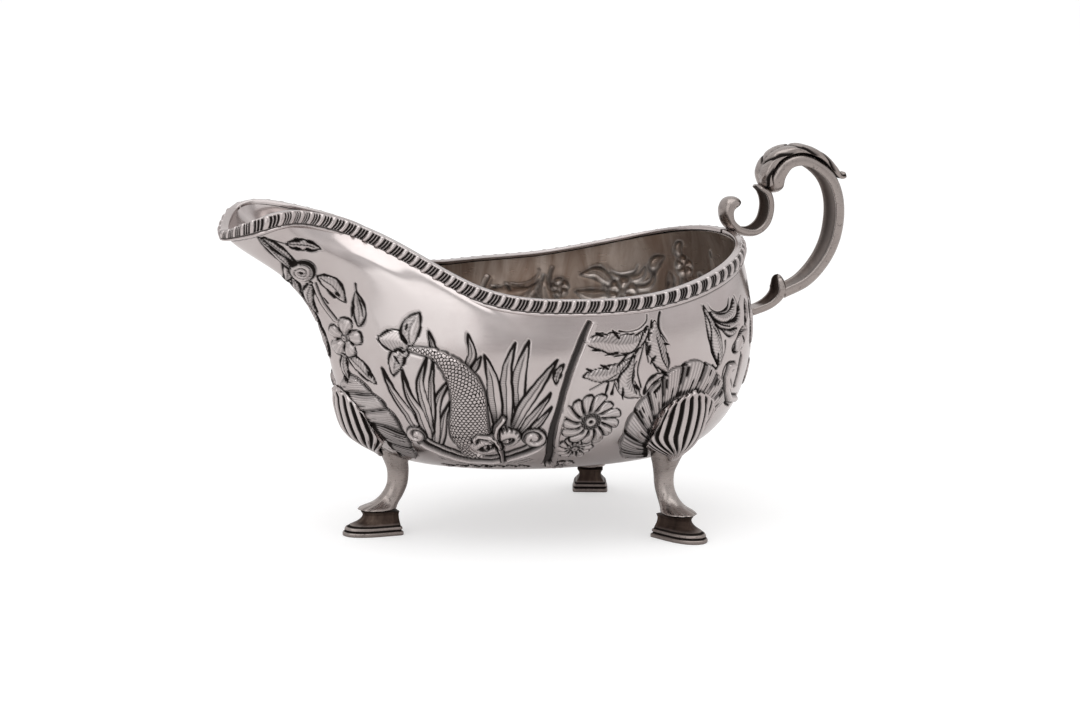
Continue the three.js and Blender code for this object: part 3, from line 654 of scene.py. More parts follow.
STERN_CRESCENTS = [
    ([(37, -39.5, 68), (39.5, -38.4, 66), (43, -36.5, 65.3), (46, -34.5, 66.8),
     (47, -33.2, 70.6)], 2.9, 0.7),
    ([(38, -39, 65.4), (41, -37.8, 63.4), (45, -35.3, 62.7), (48.6, -32.8, 64.2),
     (49.8, -31.4, 69)], 2.4, 0.65),
    ([(41.6, -37.6, 62.2), (45, -35.5, 60.4), (48.4, -33.3, 61.4)], 1.9, 0.5),
]
STERN_STROKES = [
    ([(33.5, -40, 70.4), (35, -40, 67.5), (36.6, -40, 63.4), (37.4, -40, 57),
     (40, -38.5, 52)], [0.6, 0.6, 0.5, 1.2, 0.5]),
    ([(36, -39.5, 70.5), (37.6, -39, 68.4), (40.4, -37.8, 67.3), (44, -35.5, 68),
     (45, -34.5, 70.6)], [0.3, 0.4, 0.45, 1.2, 0.5]),
    ([(36.5, -39.5, 67.5), (38, -39, 65.5), (41, -37.8, 63.6), (44.5, -36, 62.6)], [1.2, 0.8, 0.55, 0.4]),
    ([(38.5, -39, 64), (40.5, -38, 62.5), (44, -36, 61.5), (49.5, -32, 62.5)], [0.9, 0.65, 0.5, 0.3]),
    ([(42, -37.5, 61.5), (44, -36.5, 60), (46.5, -35, 59.5), (48, -33.5, 60.5)], [0.35, 0.5, 0.5, 0.4]),
    ([(44, -36, 64), (47, -34, 64.1), (48.5, -32.5, 65.6)], [0.6, 1.3, 0.7]),
    ([(47.5, -32.5, 71), (48.5, -32, 69), (48.5, -32.5, 66.5)], [0.4, 0.45, 0.3]),
    ([(51, -29.5, 70.5), (49.8, -31.2, 68.4), (49.6, -32, 65.4)], [0.4, 0.45, 0.3]),
    ([(37.5, -39.5, 63.5), (39.5, -39, 61), (41.2, -38.5, 58), (41.5, -38, 53.5)], [0.4, 0.5, 0.75, 0.5]),
    ([(43, -37, 58.5), (43, -37, 56), (42, -37.5, 53.5), (41, -37.5, 51.4)], [1.0, 0.4, 0.35, 0.4]),
    ([(39.6, -39, 55.5), (40, -38.5, 52.2)], [0.6, 0.9]),
    ([(38, -39.5, 52), (39.4, -38.5, 50.6), (40.5, -38, 51.6)], [0.8, 1.1, 0.7]),
    ([(52.5, -29, 60.4), (50.4, -31.5, 60), (46.5, -34.5, 56.5), (46.5, -34.5, 55),
     (48, -33.5, 54)], [0.4, 0.5, 0.4, 0.8, 0.4]),
    ([(50.5, -31, 53.6), (51.6, -30, 51.4), (51.5, -29.5, 49), (50.5, -29.5, 46)], [0.9, 0.6, 0.4, 0.3]),
    ([(50.2, -31.8, 58.6), (50.6, -31.4, 57)], [0.9, 1.4]),
    ([(49, -32.4, 55.4), (50, -31.6, 54.9)], [0.5, 0.6]),
    ([(47, -33.5, 50.4), (45, -35.5, 51.6), (43, -36.5, 50), (42.4, -35.8, 45.6)], [0.6, 0.7, 0.75, 0.6]),
    ([(42.4, -35.6, 45.4), (44, -33.5, 41.4), (46.5, -30, 38.4),
     (49.5, -25.5, 36.6)], [0.5, 0.9, 1.1, 0.7]),
    ([(45, -34.5, 48), (47, -32.5, 45.5), (48.5, -30.5, 42.5)], [0.3, 0.5, 0.3]),
]


def stern_scrolls(wall):
    """Leafy crescents, a long leaf, a beaked head and a C-scroll under the handle."""
    leaf(wall, [(34.5, -40, 70), (37, -40, 64), (39.6, -39, 57.5), (40.6, -38, 51.6)], 5.0, 0.6, vein=False,
         hatch=0.9, fat=0.6, line=0.2)
    for spots, width, amount in STERN_CRESCENTS:
        leaf(wall, spots, width, amount, vein=False, fat=0.5, hatch=0.9, line=0.2)
    leaf(wall, [(53, -28.2, 61.4), (51.4, -31, 58.4), (48.4, -33.6, 55.6), (46.4, -34.6, 54.6)], 5.2, 1.1,
         vein=False, hatch=0.15, fat=0.45, line=0.2)
    leaf(wall, [(53, -27.5, 69), (53.6, -27.6, 65), (52.6, -29, 61.6)], 2.6, 0.5, lobes=2)
    scroll_line(wall, [(50.6, -30, 52), (50.4, -30, 48.4), (49.6, -29.6, 44)], 1.5, 0.6)
    scroll_line(wall, [(47, -33.4, 50.2), (45.4, -35, 50.2), (44.4, -35, 47.4), (44.8, -33.2, 43.4),
                       (47.2, -29.6, 40), (51.4, -24.6, 38.6)], 2.3, 1.1)
    brush(wall, STERN_STROKES)
    for spots in ([(56, -24, 68), (57.4, -22.6, 61), (56.4, -24, 54)],
                  [(58, -18, 66), (60, -16, 58), (59, -16, 50)]):
        leaf(wall, spots, 4.0, 0.55, lobes=2)
    leaf(wall, [(57.4, -20, 52), (57, -20, 46), (55, -20, 40.5)], 3.8, 0.5, lobes=2)
    leaf(wall, [(61.6, -8, 66), (62.4, -9, 57), (61, -8, 47)], 5.0, 0.6, lobes=3)
    volute(wall, (60, -6, 44), 3.0, 1.6, -1, 0.5)


BACK_FRILL_INNER = [
    (22, -27, 23.5), (18.4, -35, 29.5), (18, -38.5, 33.5), (18.5, -41, 37.5), (21, -42.4, 42),
    (24, -42.5, 44.2), (29, -41.5, 45.6), (33.5, -40, 44.6), (37.5, -37, 41), (40.5, -32.5, 36),
]
BACK_FRILL_OUTER = [
    (14, -29, 23.5), (10.5, -36, 29.5), (10.2, -40, 34.5), (11.6, -43, 40.5), (15.5, -44, 46),
    (20.5, -43.6, 51), (27.5, -42.6, 54.2), (35, -41, 53.4), (41.5, -37, 47.5), (44.8, -32, 39.5),
]
FRONT_FRILL_INNER = [
    (-63.6, -3.4, 46.4), (-62.5, -6, 43.5), (-60.5, -8, 41), (-58.5, -9.5, 38),
    (-56.5, -11, 35), (-53.5, -11.5, 32), (-51, -11, 28.5), (-47.5, -9.5, 26),
]
FRONT_FRILL_OUTER = [
    (-63.4, -7, 51.4), (-61, -11, 48.6), (-58.5, -14, 46), (-56, -16.5, 43),
    (-53.5, -18, 40), (-51, -18.5, 36), (-48, -17.5, 31.5), (-44, -13, 25.5),
]


def knee_ruffles(wall):
    """Frills round the knee shells, on the wall."""
    ruffle(wall, BACK_FRILL_INNER, BACK_FRILL_OUTER, 10, start_shade=0.28)
    ruffle(wall, FRONT_FRILL_INNER, FRONT_FRILL_OUTER, 5, skew=0.35, comb=11.0,
           low_shade=0.3, bars=0.7, rim=0.9)


# Near side: a fish among reeds over a C-scroll

RIGHT_REEDS = [
    ([(-19.5, 34), (-16, 38), (-12.8, 43)], 2.4),
    ([(-20.5, 34.5), (-17.8, 40), (-13.4, 47)], 2.8),
    ([(-21.5, 42), (-22.4, 49), (-21.4, 56), (-19.4, 62.4)], 4.6),
    ([(-22.6, 36), (-20.6, 43), (-16.6, 50), (-11.8, 57.4)], 3.8),
    ([(-24.6, 37.5), (-25.4, 47), (-25.4, 55), (-23, 62.2)], 4.2),
    ([(-27, 38.5), (-28.4, 45.5), (-29.4, 52), (-31.2, 58.4)], 4.6),
]
LEFT_REEDS = [
    ([(-40.6, 28.5), (-41.2, 39), (-39.6, 45)], 2.8),
    ([(-41.6, 28.5), (-43.4, 40), (-42.4, 47), (-38.5, 52)], 3.4),
    ([(-43.6, 34), (-44.8, 48), (-44.2, 57)], 2.4),
    ([(-43.8, 35), (-46.8, 45), (-47.6, 50), (-46, 57)], 3.2),
    ([(-42.8, 29.5), (-47, 40), (-50.2, 45.5), (-52, 53)], 3.4),
    ([(-45, 32), (-50.6, 41), (-54, 46.5), (-56.6, 53.4)], 3.2),
]
FISH_SPINE = [
    (-49.8, 59.6), (-46.5, 59.2), (-44, 58.2), (-40.6, 55.6), (-37.2, 51), (-35.4, 46), (-34.8, 40),
    (-33.8, 35), (-31.4, 31),
]
FISH_WIDTHS = [1.6, 2.4, 3.4, 5.4, 7.6, 9.6, 10.4, 10.8, 11.6, 11.8, 10.0]
TAIL_STROKES = [
    ([(-50.6, 61.4), (-51.6, 62.8)], [1.1, 0.8]), ([(-51.6, 59.2), (-53.4, 58.8)], [0.6, 0.9]),
    ([(-55.2, 64), (-56.8, 63)], [0.8, 0.4]), ([(-57.4, 62.2), (-57, 60.6)], [0.5, 0.8]),
    ([(-50.6, 64.8), (-50.2, 66.6)], [0.5, 1.0, 0.5]), ([(-47.6, 64.2), (-46.8, 66)], [0.4, 0.8, 0.4]),
    ([(-52.6, 55.4), (-53.6, 57)], [0.5, 0.8]), ([(-51.2, 56.6), (-51.6, 55)], [0.9, 0.5]),
]
C_SCROLL = [
    (-47.5, 32.4), (-43, 29.6), (-38, 27.2), (-31.5, 25.2), (-27, 24.6), (-23, 24.9), (-20, 26),
    (-16.5, 27.8), (-13.6, 30), (-12.8, 32.6),
]
HEAD_BANDS = [
    ([(-25.6, 39.4), (-26.8, 37.4), (-27, 35.4), (-26.2, 33), (-24.6, 30.6)], 1.6),
    ([(-32, 32.6), (-32.4, 33.7), (-31, 34.6), (-28.6, 34.4), (-26.6, 33.2), (-25.6, 31.9),
     (-24.8, 30.6)], 1.2), ([(-24.6, 30.2), (-23.4, 28), (-22.2, 25.6)], 0.9),
]
HEAD_STROKES = [
    ([(-30.4, 30.4), (-28.8, 31.8), (-26.6, 31.6)], [0.9, 0.4, 0.7]),
    ([(-30.4, 30.4), (-28.2, 30), (-26.4, 31.4)], [0.9, 0.35, 0.7]),
    ([(-31.4, 32.8), (-30.6, 33.5), (-28.8, 33.2), (-27.1, 32.2),
     (-25.4, 30.4)], [0.8, 0.4, 0.35, 0.4, 0.4]),
    ([(-28, 38), (-28, 36.4), (-27.6, 35)], [0.6, 0.8, 0.4]),
    ([(-25.2, 38), (-25.9, 35.6), (-25.5, 33.4), (-24.1, 30.8)], [0.5, 0.5, 0.4, 0.5]),
    ([(-23.7, 29.6), (-22.4, 27.4), (-21.2, 25.2)], [0.3, 0.5, 0.5]),
    ([(-26.2, 28.8), (-25, 27.6)], [0.8, 1.0]),
]
BASE_STROKES = [
    ([(-33, 23.4), (-31.4, 23)], [0.8, 1.5, 1.0]), ([(-29.8, 22.9), (-27, 22.4)], [1.2, 0.7, 0.5]),
    ([(-25.6, 23.3), (-24.4, 22)], [0.8, 1.2]), ([(-22, 23.6), (-19.6, 24)], [0.6, 1.2, 0.6]),
    ([(-38.6, 25.4), (-36.6, 24.4)], [0.7, 1.2, 0.7]), ([(-18.6, 24.8), (-15.6, 26.6)], [0.4, 0.7, 0.4]),
    ([(-18, 23.6), (-14.6, 25.6)], [0.4, 0.7, 0.4]), ([(-35.6, 24), (-34, 23.4)], [0.5, 0.9]),
    ([(-16.6, 23.4), (-13.6, 25)], [0.4, 0.7, 0.4]),
]


def fish_panel(wall):
    """Near side: a fish on its head among reeds, over a C-scroll."""
    for spots, width in RIGHT_REEDS + LEFT_REEDS:
        blade(wall, spots, width)
    leaf(wall, [(-12.2, 50), (-11.8, 53), (-10.2, 56)], 2.0, 0.3)
    blade(wall, [(-44.2, 58), (-44.4, 61), (-45.2, 65)], 1.8)
    blade(wall, [(-36.4, 54), (-34.4, 58.5), (-35.2, 64.2)], 2.6)
    blade(wall, [(-35, 53), (-33.6, 55), (-32.2, 58)], 2.0)
    leaf(wall, [(-50, 59.6), (-53, 56.6), (-54, 51.2)], 5.0, 0.6)
    leaf(wall, [(-49.8, 60), (-53.4, 61.6), (-57.6, 61.4)], 6.4, 0.6, vein=False, hatch=0.5)
    leaf(wall, [(-49.8, 60.4), (-49.6, 65), (-47, 69.8)], 5.6, 0.6, hatch=0.4)
    brush(wall, TAIL_STROKES)
    fish(wall, FISH_SPINE, FISH_WIDTHS)
    for x in np.arange(-36, -14, 3.4):
        leaf(wall, [(x, 22.6), (x + 1.6, 21.8), (x + 3.4, 21.8)], 2.2, 0.4, vein=False)
    brush(wall, BASE_STROKES)
    scroll_line(wall, C_SCROLL, 1.2, 1.2, dark_side=1)
    fish_head(wall)
    volute(wall, (-47, 34), 2.9, 1.25, 1, 0.0)
    volute(wall, (-16.4, 33.6), 3.4, 1.35, -1, 2.0)


FAR_LEAVES = [
    ([(-45, 46), (-50, 51), (-56, 55)], 5.5, 3), ([(-38, 46.5), (-40, 54), (-46, 62)], 6.0, 3),
    ([(-30, 43), (-28, 52), (-33, 61)], 6.0, 3), ([(-24, 39), (-17, 46), (-14, 56)], 6.0, 3),
    ([(-33, 44), (-34, 36), (-41, 29)], 5.5, 3), ([(-24, 38), (-22, 31), (-27, 25)], 5.0, 2),
]


def flower_panel(wall):
    """Far side: a spray of flowers and leaves in the fish's place."""
    for spots, width in RIGHT_REEDS[:3]:
        leaf(wall, spots, width, 0.5)
    stem(wall, [(-52, 40), (-44, 46), (-36, 46), (-28, 41), (-18, 38)], 1.2)
    for spots, width, lobes in FAR_LEAVES:
        leaf(wall, spots, width, 0.7, lobes=lobes)
    flower(wall, (-50, 39), 5.5, 8, 0.3, 0.9)
    flower(wall, (-35, 46), 7.5, 12, 0.4, 1.0)
    flower(wall, (-18, 37.5), 6.0, 9, 0.3, 0.9)


def rim_spray_far(wall):
    """Flowers and leaves under the far edge, which show inside as hollows."""
    leaf(wall, [(39, 63), (34, 67.4), (28.4, 67)], 4.2, 0.9)
    leaf(wall, [(38, 60.4), (32.6, 60), (27, 61.6)], 4.4, 0.9)
    stem(wall, [(44, -34.5, 64.2), (47.5, -31.5, 66.2), (52.5, -26, 67.6), (55.5, -21.5, 69)], 1.3, 1.0)
    leaf(wall, [(48, -31, 67), (48.6, -30.4, 71.4), (51.4, -27.4, 74)], 3.8, 0.9)
    leaf(wall, [(54.6, -23, 73), (54, -24, 76.6), (55.4, -22, 80)], 3.0, 0.9)
    leaf(wall, [(56.4, -19.6, 70), (58.4, -15.6, 68.4), (59.8, -12, 69.4)], 3.0, 0.8)
    stem(wall, [(60.4, -11, 78), (60.9, -11, 70.6)], 1.2, 0.8)
    flower(wall, (41, 61.6), 5.2, 6, 0.2, 1.3)
    flower(wall, (55, -22.4, 71), 3.9, 5, 0.2, 1.2)
    flower(wall, (22, 63), 3.4, 5, 0.2, 1.0)


def chase_and_shade(wall):
    """All the ornament and its painted shade, in the order in which it overlaps."""
    shared = (knee_ruffles, stern_scrolls, spout_spray)
    for side, motifs in (
        (NEAR, shared), (FAR, shared), (NEAR, [fish_panel]), (FAR, [flower_panel, rim_spray_far]),
        (NEAR, [acanthus_panel]), (FAR, [acanthus_panel]),
    ):
        wall.side = side
        for motif in motifs:
            motif(wall)
    wall.inner_dark = soften(wall.dark, 2) * INSIDE_DARK
    # a dark line along the lower edge of the border: the black of a chased line there, and a painted shadow
    # under the border's overhang
    down = np.linalg.norm(np.diff(wall.points, axis=0), axis=2).cumsum(0)
    down = np.vstack([np.zeros((1, down.shape[1])), down])
    edge_run = run_length(wall.points[0])
    from_lip = np.minimum(edge_run, edge_run[-1] - edge_run)
    foot_line = BORDER_FOOT - BORDER_DEPTH * (1 - border_drop(from_lip))
    wall.dark = np.maximum(wall.dark, 0.62 * bump(down - foot_line, 0.3))


def border_drop(from_lip):
    """How much of its full depth the border has at a distance from the lip."""
    return 0.62 + 0.38 * smooth(from_lip, 0, 15)


# Meshes

def write_mesh(name, bm, material, nodes, normals=None):
    """The finished piece: its mesh in metres, its finish, and the node that it stands for."""
    mesh = bpy.data.meshes.new(name)
    bm.to_mesh(mesh)
    bm.free()
    mesh.materials.append(material)
    mesh.polygons.foreach_set("use_smooth", np.ones(len(mesh.polygons), bool))
    if normals is not None:
        mesh.normals_split_custom_set_from_vertices(normals)
    piece = bpy.data.objects.new(name, mesh)
    bpy.context.scene.collection.objects.link(piece)
    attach(piece, "root")
    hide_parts(*nodes)
    return piece


def grid_sheet(bm, columns, rows, level):
    """A flat grid in the unit square at a level, whose corners give each vertex its column and row."""
    made = bmesh.ops.create_grid(bm, x_segments=columns, y_segments=rows, size=0.5)["verts"]
    bmesh.ops.translate(bm, verts=made, vec=(0.5, 0.5, level))
    return made


def face_outwards(bm):
    bmesh.ops.recalc_face_normals(bm, faces=bm.faces[:])
    if bm.calc_volume(signed=True) < 0:
        bmesh.ops.reverse_faces(bm, faces=bm.faces[:])


def side_chain(edges, axis, value):
    """The edges of a grid that lie on one side of the unit square."""
    return [e for e in edges if all(abs(v.co[axis] - value) < 1e-6 for v in e.verts)]


def closed_sheet(columns, rows, inside_columns, inside_rows):
    """An outer and an inner grid joined along their four sides: a sheet of metal laid out flat."""
    bm = bmesh.new()
    outer = grid_sheet(bm, columns, rows, 0)
    grid_sheet(bm, inside_columns, inside_rows, 1)
    bmesh.ops.reverse_faces(bm, faces=list({f for v in outer for f in v.link_faces}))
    borders = [e for e in bm.edges if e.is_boundary]
    for axis in (0, 1):
        for value in (0, 1):
            bmesh.ops.bridge_loops(bm, edges=side_chain(borders, axis, value))
    bmesh.ops.triangulate(bm, faces=[f for f in bm.faces if len(f.verts) > 4])
    return bm


def thinned(last):
    """Every second number from 0 to last, and last itself."""
    return np.unique(np.r_[np.arange(0, last, INSIDE_SHARE), last])


def bowl_sections(wall, material):
    """The chased bowl, in sections that meet on shared points."""
    outer = wall.points + wall.normals * wall.height[..., None]
    outer_normals = grid_normals(outer)
    outer_normals[0], outer_normals[-1] = outer_normals[1], (0, 0, -1)
    inner = wall.points - wall.normals * (WALL - soften(wall.height, 2) * INSIDE_RELIEF)[..., None]
    inner_normals = -grid_normals(inner)
    inner_normals[-1] = (0, 0, 1)
    seams = [int(np.abs(wall.turn - t).argmin()) for t in SEAM_TURNS[:-1]] + [len(wall.turn)]
    for k, (first, last) in enumerate(zip(seams, seams[1:])):
        rows, columns = [(np.arange(n + 1), thinned(n)) for n in (len(wall.depth) - 1, last - first)]
        bm = closed_sheet(*(len(picked[level]) - 1 for level in (0, 1) for picked in (columns, rows)))
        for level in (0, 1):
            bottom = [v for v in bm.verts if v.co.y > 1 - 1e-6 and abs(v.co.z - level) < 0.5]
            bmesh.ops.pointmerge(bm, verts=bottom, merge_co=(0.5, 1, level))
        across, down, level = np.array([v.co[:] for v in bm.verts]).T
        inside = level > 0.5
        row, column = [
            np.where(inside, *[kept[np.round(share * (len(kept) - 1)).astype(int)] for kept in (few, many)])
            for share, (many, few) in ((down, rows), (across, columns))
        ]
        at = row, (first + column) % len(wall.turn)
        place = np.where(inside[:, None], inner[at], outer[at])
        for v, co in zip(bm.verts, place * MM):
            v.co = co
        face_outwards(bm)
        normal = np.where(inside[:, None], inner_normals[at], outer_normals[at])
        piece = write_mesh(f"bowl_section_{k + 1}", bm, material, ["bowl"], normal)
        # the first attribute holds the black of the cuts together with the painted shade
        attributes = {
            "chase_and_shade": np.where(inside, wall.inner_dark[at], wall.dark[at]),
            "hatch": wall.hatch[at] * ~inside, "phase": wall.phase[at],
            "tarnish": inside * smooth(place[:, 0], BARE_UNTIL_X, BROWN_FROM_X),
            "scales": wall.scales[at] * ~inside,
            "scale_run": wall.scale_run[at], "scale_across": wall.scale_across[at],
        }
        for name, values in attributes.items():
            layer = piece.data.attributes.new(name, "FLOAT", "POINT")
            layer.data.foreach_set("value", values.astype(np.float32))


def soften(grid, steps):
    """A grid averaged with its neighbours, round the ring and down the wall."""
    for _ in range(steps):
        down = np.pad(grid, ((1, 1), (0, 0)), mode="edge")
        grid = (down[:-2] + 2 * grid + down[2:]) / 4
        grid = (np.roll(grid, 1, 1) + 2 * grid + np.roll(grid, -1, 1)) / 4
    return grid


# Skins: rows of points round a section, closed round each row and capped at both ends

def rounded(section, times=2):
    """A closed outline of (x, y, tone) with its corners cut off again and again."""
    p = np.array(section, float)
    for _ in range(times):
        after = np.roll(p, -1, 0)
        p = np.stack([p * 0.75 + after * 0.25, p * 0.25 + after * 0.75], 1).reshape(-1, p.shape[1])
    return p


def skin(name, places, tones, material, nodes, sharp=50, brown=None):
    """One piece from rows of points: places[row, column] in millimetres, its black and its brown."""
    brown = np.zeros_like(tones) if brown is None else brown
    places, tones, brown = (np.concatenate([grid, grid[:, :1]], 1) for grid in (places, tones, brown))
    rows, cols = places.shape[:2]
    bm = bmesh.new()
    chase_and_shade_layer = bm.verts.layers.float.new("chase_and_shade")
    brown_layer = bm.verts.layers.float.new("tarnish")
    made = grid_sheet(bm, cols - 1, rows - 1, 0)
    seam = []
    for v in made:
        row, col = round(v.co.y * (rows - 1)), round(v.co.x * (cols - 1))
        v.co = places[row, col] * MM
        v[chase_and_shade_layer] = tones[row, col]
        v[brown_layer] = brown[row, col]
        if col in (0, cols - 1):
            seam.append(v)
    bmesh.ops.remove_doubles(bm, verts=seam, dist=1e-9)
    rims = [e for e in bm.edges if e.is_boundary]
    bmesh.ops.holes_fill(bm, edges=rims, sides=0)
    bmesh.ops.triangulate(bm, faces=[f for f in bm.faces if len(f.verts) > 4])
    face_outwards(bm)
    piece = write_mesh(name, bm, material, nodes)
    piece.data.set_sharp_from_angle(angle=math.radians(sharp))


# Border: a flat ledge over gadroons and a plain fillet, in two lengths

GADROON_PITCH, LIP_PITCH = 4.0, 2.9
GADROON_SLANT = 1.15  # the top of a gadroon leans this far towards the handle
BORDER_STEP = 0.145
BORDER_BUTT = 0.0012
LEDGE_TOP, BORDER_DEPTH = 1.4, 4.8  # over the bowl's edge, and from there to the border's lower edge
LEDGE = [(-1.3, 0.3), (-1.3, 0.85), (-1.26, 1.3), (-1.1, 1.4), (-0.4, 1.36), (0.2, 1.36), (0.62, 1.4)]
FACE = [
    (0.95, 1.36), (1.3, 1.12), (1.56, 0.75), (1.72, 0.3), (1.8, -0.2), (1.8, -0.7), (1.74, -1.2),
    (1.62, -1.7), (1.45, -2.15),
]
FILLET = [
    (1.18, -2.36), (1.3, -2.5), (1.5, -2.66), (1.58, -2.9), (1.52, -3.15), (1.3, -3.33), (0.95, -3.4),
    (0.45, -3.4),
]
BACK = [(0.3, -3.2), (0.3, -1.5), (0.3, 0.1), (0.15, 0.3), (-0.6, 0.3)]


def edge_frame(turn):
    """The bowl's edge with its level outward direction and the direction across it."""
    step = 1e-3
    ahead = unit(bowl_point(turn + step, 0.0) - bowl_point(turn - step, 0.0))
    out = unit(np.stack([ahead[:, 1], -ahead[:, 0], np.zeros(len(ahead))], 1))
    up = np.cross(out, ahead)
    up *= np.sign(up[:, 2:3])
    return bowl_point(turn, 0.0), out, up


def finer(line, share):
    """A line with share - 1 more points in each span."""
    p = np.array(line, float)
    parts = [p[:-1] + (p[1:] - p[:-1]) * k / share for k in range(share)]
    return np.vstack([np.stack(parts, 1).reshape(-1, 2), p[-1:]])


def border_length(name, node_name, low_turn, high_turn, lip_first, material):
    """One length of the border between two turns."""
    dense = np.linspace(low_turn, high_turn, 3001)
    run = run_length(bowl_point(dense, 0.0))
    stations = int(run[-1] / BORDER_STEP)
    at = np.linspace(0, run[-1], stations + 1)
    turn = np.interp(at, run, dense)
    base, out, up = edge_frame(turn)
    from_lip = at if lip_first else run[-1] - at
    fine = np.linspace(0, run[-1], 4001)
    pitch = LIP_PITCH + (GADROON_PITCH - LIP_PITCH) * smooth(fine, 4, 18)
    phase_at = np.concatenate([[0], np.cumsum(np.diff(fine) / ((pitch[1:] + pitch[:-1]) / 2))])
    face = finer(FACE, 3)
    outline = np.vstack([LEDGE, face, FILLET, BACK])
    below = len(FILLET) + len(BACK)
    zone = np.r_[np.full(len(LEDGE), -1.0), np.linspace(0, 1, len(face)), np.full(below, 2.0)]
    normal = unit(np.stack([-np.gradient(outline[:, 1]), np.gradient(outline[:, 0])], 1))
    on_face = (zone >= 0) & (zone <= 1)
    lean = GADROON_SLANT * (1 - zone) + 0.35 * np.sin(np.pi * np.clip(zone, 0, 1))
    cycle = np.interp(from_lip[:, None] - lean, fine, phase_at) % 1.0
    lobe = np.sin(np.pi * np.clip(cycle / 0.34, 0, 1)) ** 0.6
    broad = 0.06 + 0.016 * smooth(from_lip, 110, 150)[:, None]
    grooves = np.clip(sum(2.8 * bump(cycle - c, broad) for c in (0.41, 0.65, 0.89)), 0, 1)
    ends = smooth(zone, 0.03, 0.11) * (1 - smooth(zone, 0.96, 1.0)) * on_face
    fineness = 0.7 + 0.3 * smooth(from_lip, 5, 20)[:, None]
    lift = (0.3 * lobe - 0.5 * grooves) * ends * fineness
    scallop = 0.13 * lobe * bump(zone, 0.12) * on_face
    tone = grooves * ends
    crease = 0.75 * bump(zone - 1.02, 0.05) * on_face
    crease[len(LEDGE) + len(face)] = 0.75
    tone = np.maximum(tone, crease[None, :])
    x = outline[:, 0] + normal[:, 0] * (lift + scallop)
    y = outline[:, 1] + normal[:, 1] * (lift + scallop)
    y = LEDGE_TOP + (y - LEDGE_TOP) * border_drop(from_lip)[:, None]
    places = base[:, None] + out[:, None] * x[..., None] + up[:, None] * y[..., None]
    skin(name, places, tone, material, [node_name], 65)


# Handle castings, swept along paths in the plane y = 0

STRAP_WIDTH, STRAP_THICK = 9.6, 3.8
RIM_SCROLL_WIDTH, RIM_SCROLL_THICK = 8.0, 2.4
LOWER_SCROLL_WIDTH, LOWER_SCROLL_THICK = 7.0, 2.4
LEAF_WIDTH, LEAF_THICK = 9.8, 2.2
RIM_SCROLL_PATH = [
    (3.7, 8.2), (2.6, 9.5), (0.7, 9.3), (-0.3, 7), (0.6, 3.5), (4.0, 0.9), (8.9, 0.3), (12.6, 2.9),
    (14.0, 7.6), (13.1, 12), (10.0, 14.4),
]
MAIN_SCROLL_PATH = [
    (15.7, 11.9), (15.2, 16.6), (18.4, 21.3), (23.5, 22.4), (28.8, 20.4), (33.4, 16.4), (36, 11.2),
    (36.8, 4.6), (35.6, -3), (32.2, -9.8), (26.4, -15.7), (18.6, -19.2),
]
LEAF_PATH = [
    (12.9, 13.9), (12.1, 18.4), (15.4, 23.4), (22.8, 25.4), (30, 23.2), (35, 18.8), (37.6, 16.4),
    (39.8, 16.6),
]
LOWER_SCROLL_PATH = [(4.7, -25), (10.2, -24), (15.2, -22), (18.2, -18.6), (17.8, -13.2)]
CHANNEL_SHARE = 0.41  # half of the channel's width, as a share of the casting's
# outline of the castings as (across, out, tone): a channel inside, flat flanks and a round back
CHANNEL_STRAP = [
    (-0.5, -0.52, 0.05), (-0.4, -0.5, 0.1), (-0.33, -0.36, 0.75), (-0.2, -0.2, 0.6), (0, -0.12, 0.5),
    (0.2, -0.2, 0.6), (0.33, -0.36, 0.75), (0.4, -0.5, 0.1), (0.5, -0.52, 0.05), (0.52, -0.2, 0.05),
    (0.5, 0.12, 0.05), (0.36, 0.38, 0.05), (0.14, 0.49, 0.05), (-0.14, 0.49, 0.05), (-0.36, 0.38, 0.05),
    (-0.5, 0.12, 0.05), (-0.52, -0.2, 0.05),
]


def strap(name, node_name, path, away, width, thick, sizes, material, shape=None, step=0.3, ends=(1.2, 1.2),
          brown=1.0):
    """A casting swept along a path: sizes are rows (share of its length, width, thickness, channel)."""
    stern = edge_height(np.array(STERN_X)) + BOTTOM_Z
    line = evenly(spline([(STERN_X + x, stern + z) for x, z in path], 40), 2000)
    length = run_length(line)[-1]
    stations = int(length / step)
    at = np.linspace(0, length, stations + 1)
    share = at / length
    point = np.stack([np.interp(at, run_length(line), line[:, k]) for k in (0, 1)], 1)
    ahead = unit(np.gradient(point, axis=0))
    back = np.stack([-ahead[:, 1], ahead[:, 0]], 1) * away
    wide, deep, channel = profile(sizes, share)
    left = np.minimum(np.clip(at / ends[0], 0, 1), np.clip((length - at) / ends[1], 0, 1))
    close = np.maximum(round_top(1 - left), 0.04)
    across, out, tone = rounded(CHANNEL_STRAP).T
    hollow = (np.abs(across) < CHANNEL_SHARE) & (out < 0.0)
    flat = np.where(hollow, -0.5 - 0.04 * (1 - (across / CHANNEL_SHARE) ** 2), out)
    y = flat + (out - flat) * channel[:, None]
    tones = np.broadcast_to(tone, y.shape) * np.where(hollow, channel[:, None], 1)
    x = np.broadcast_to(across, y.shape)
    offset_out, extra = np.zeros_like(y), np.zeros_like(y)
    if shape:
        offset_out, extra = shape(at[:, None], x, y, length)
    across_mm = x * (width * wide * close)[:, None]
    out_mm = (y * (thick * deep)[:, None] + offset_out) * close[:, None]
    level, up = (point[:, k, None] + back[:, k, None] * out_mm for k in (0, 1))
    places = np.stack([level, across_mm, up], -1)
    edge_line = 0.6 * bump(np.abs(x) - CHANNEL_SHARE, 0.02) * (out < 0) * channel[:, None]
    tones = np.where(hollow, np.clip(tones * brown, 0, 1), 0)
    # painted shade: a channel whose brown is raised past 1 is also blackened in its hollow, over its brown
    # patina
    dark = np.maximum(np.maximum(edge_line, extra), 0.5 * tones * (brown > 1))
    skin(name, places, dark, material, [node_name], 60, tones)


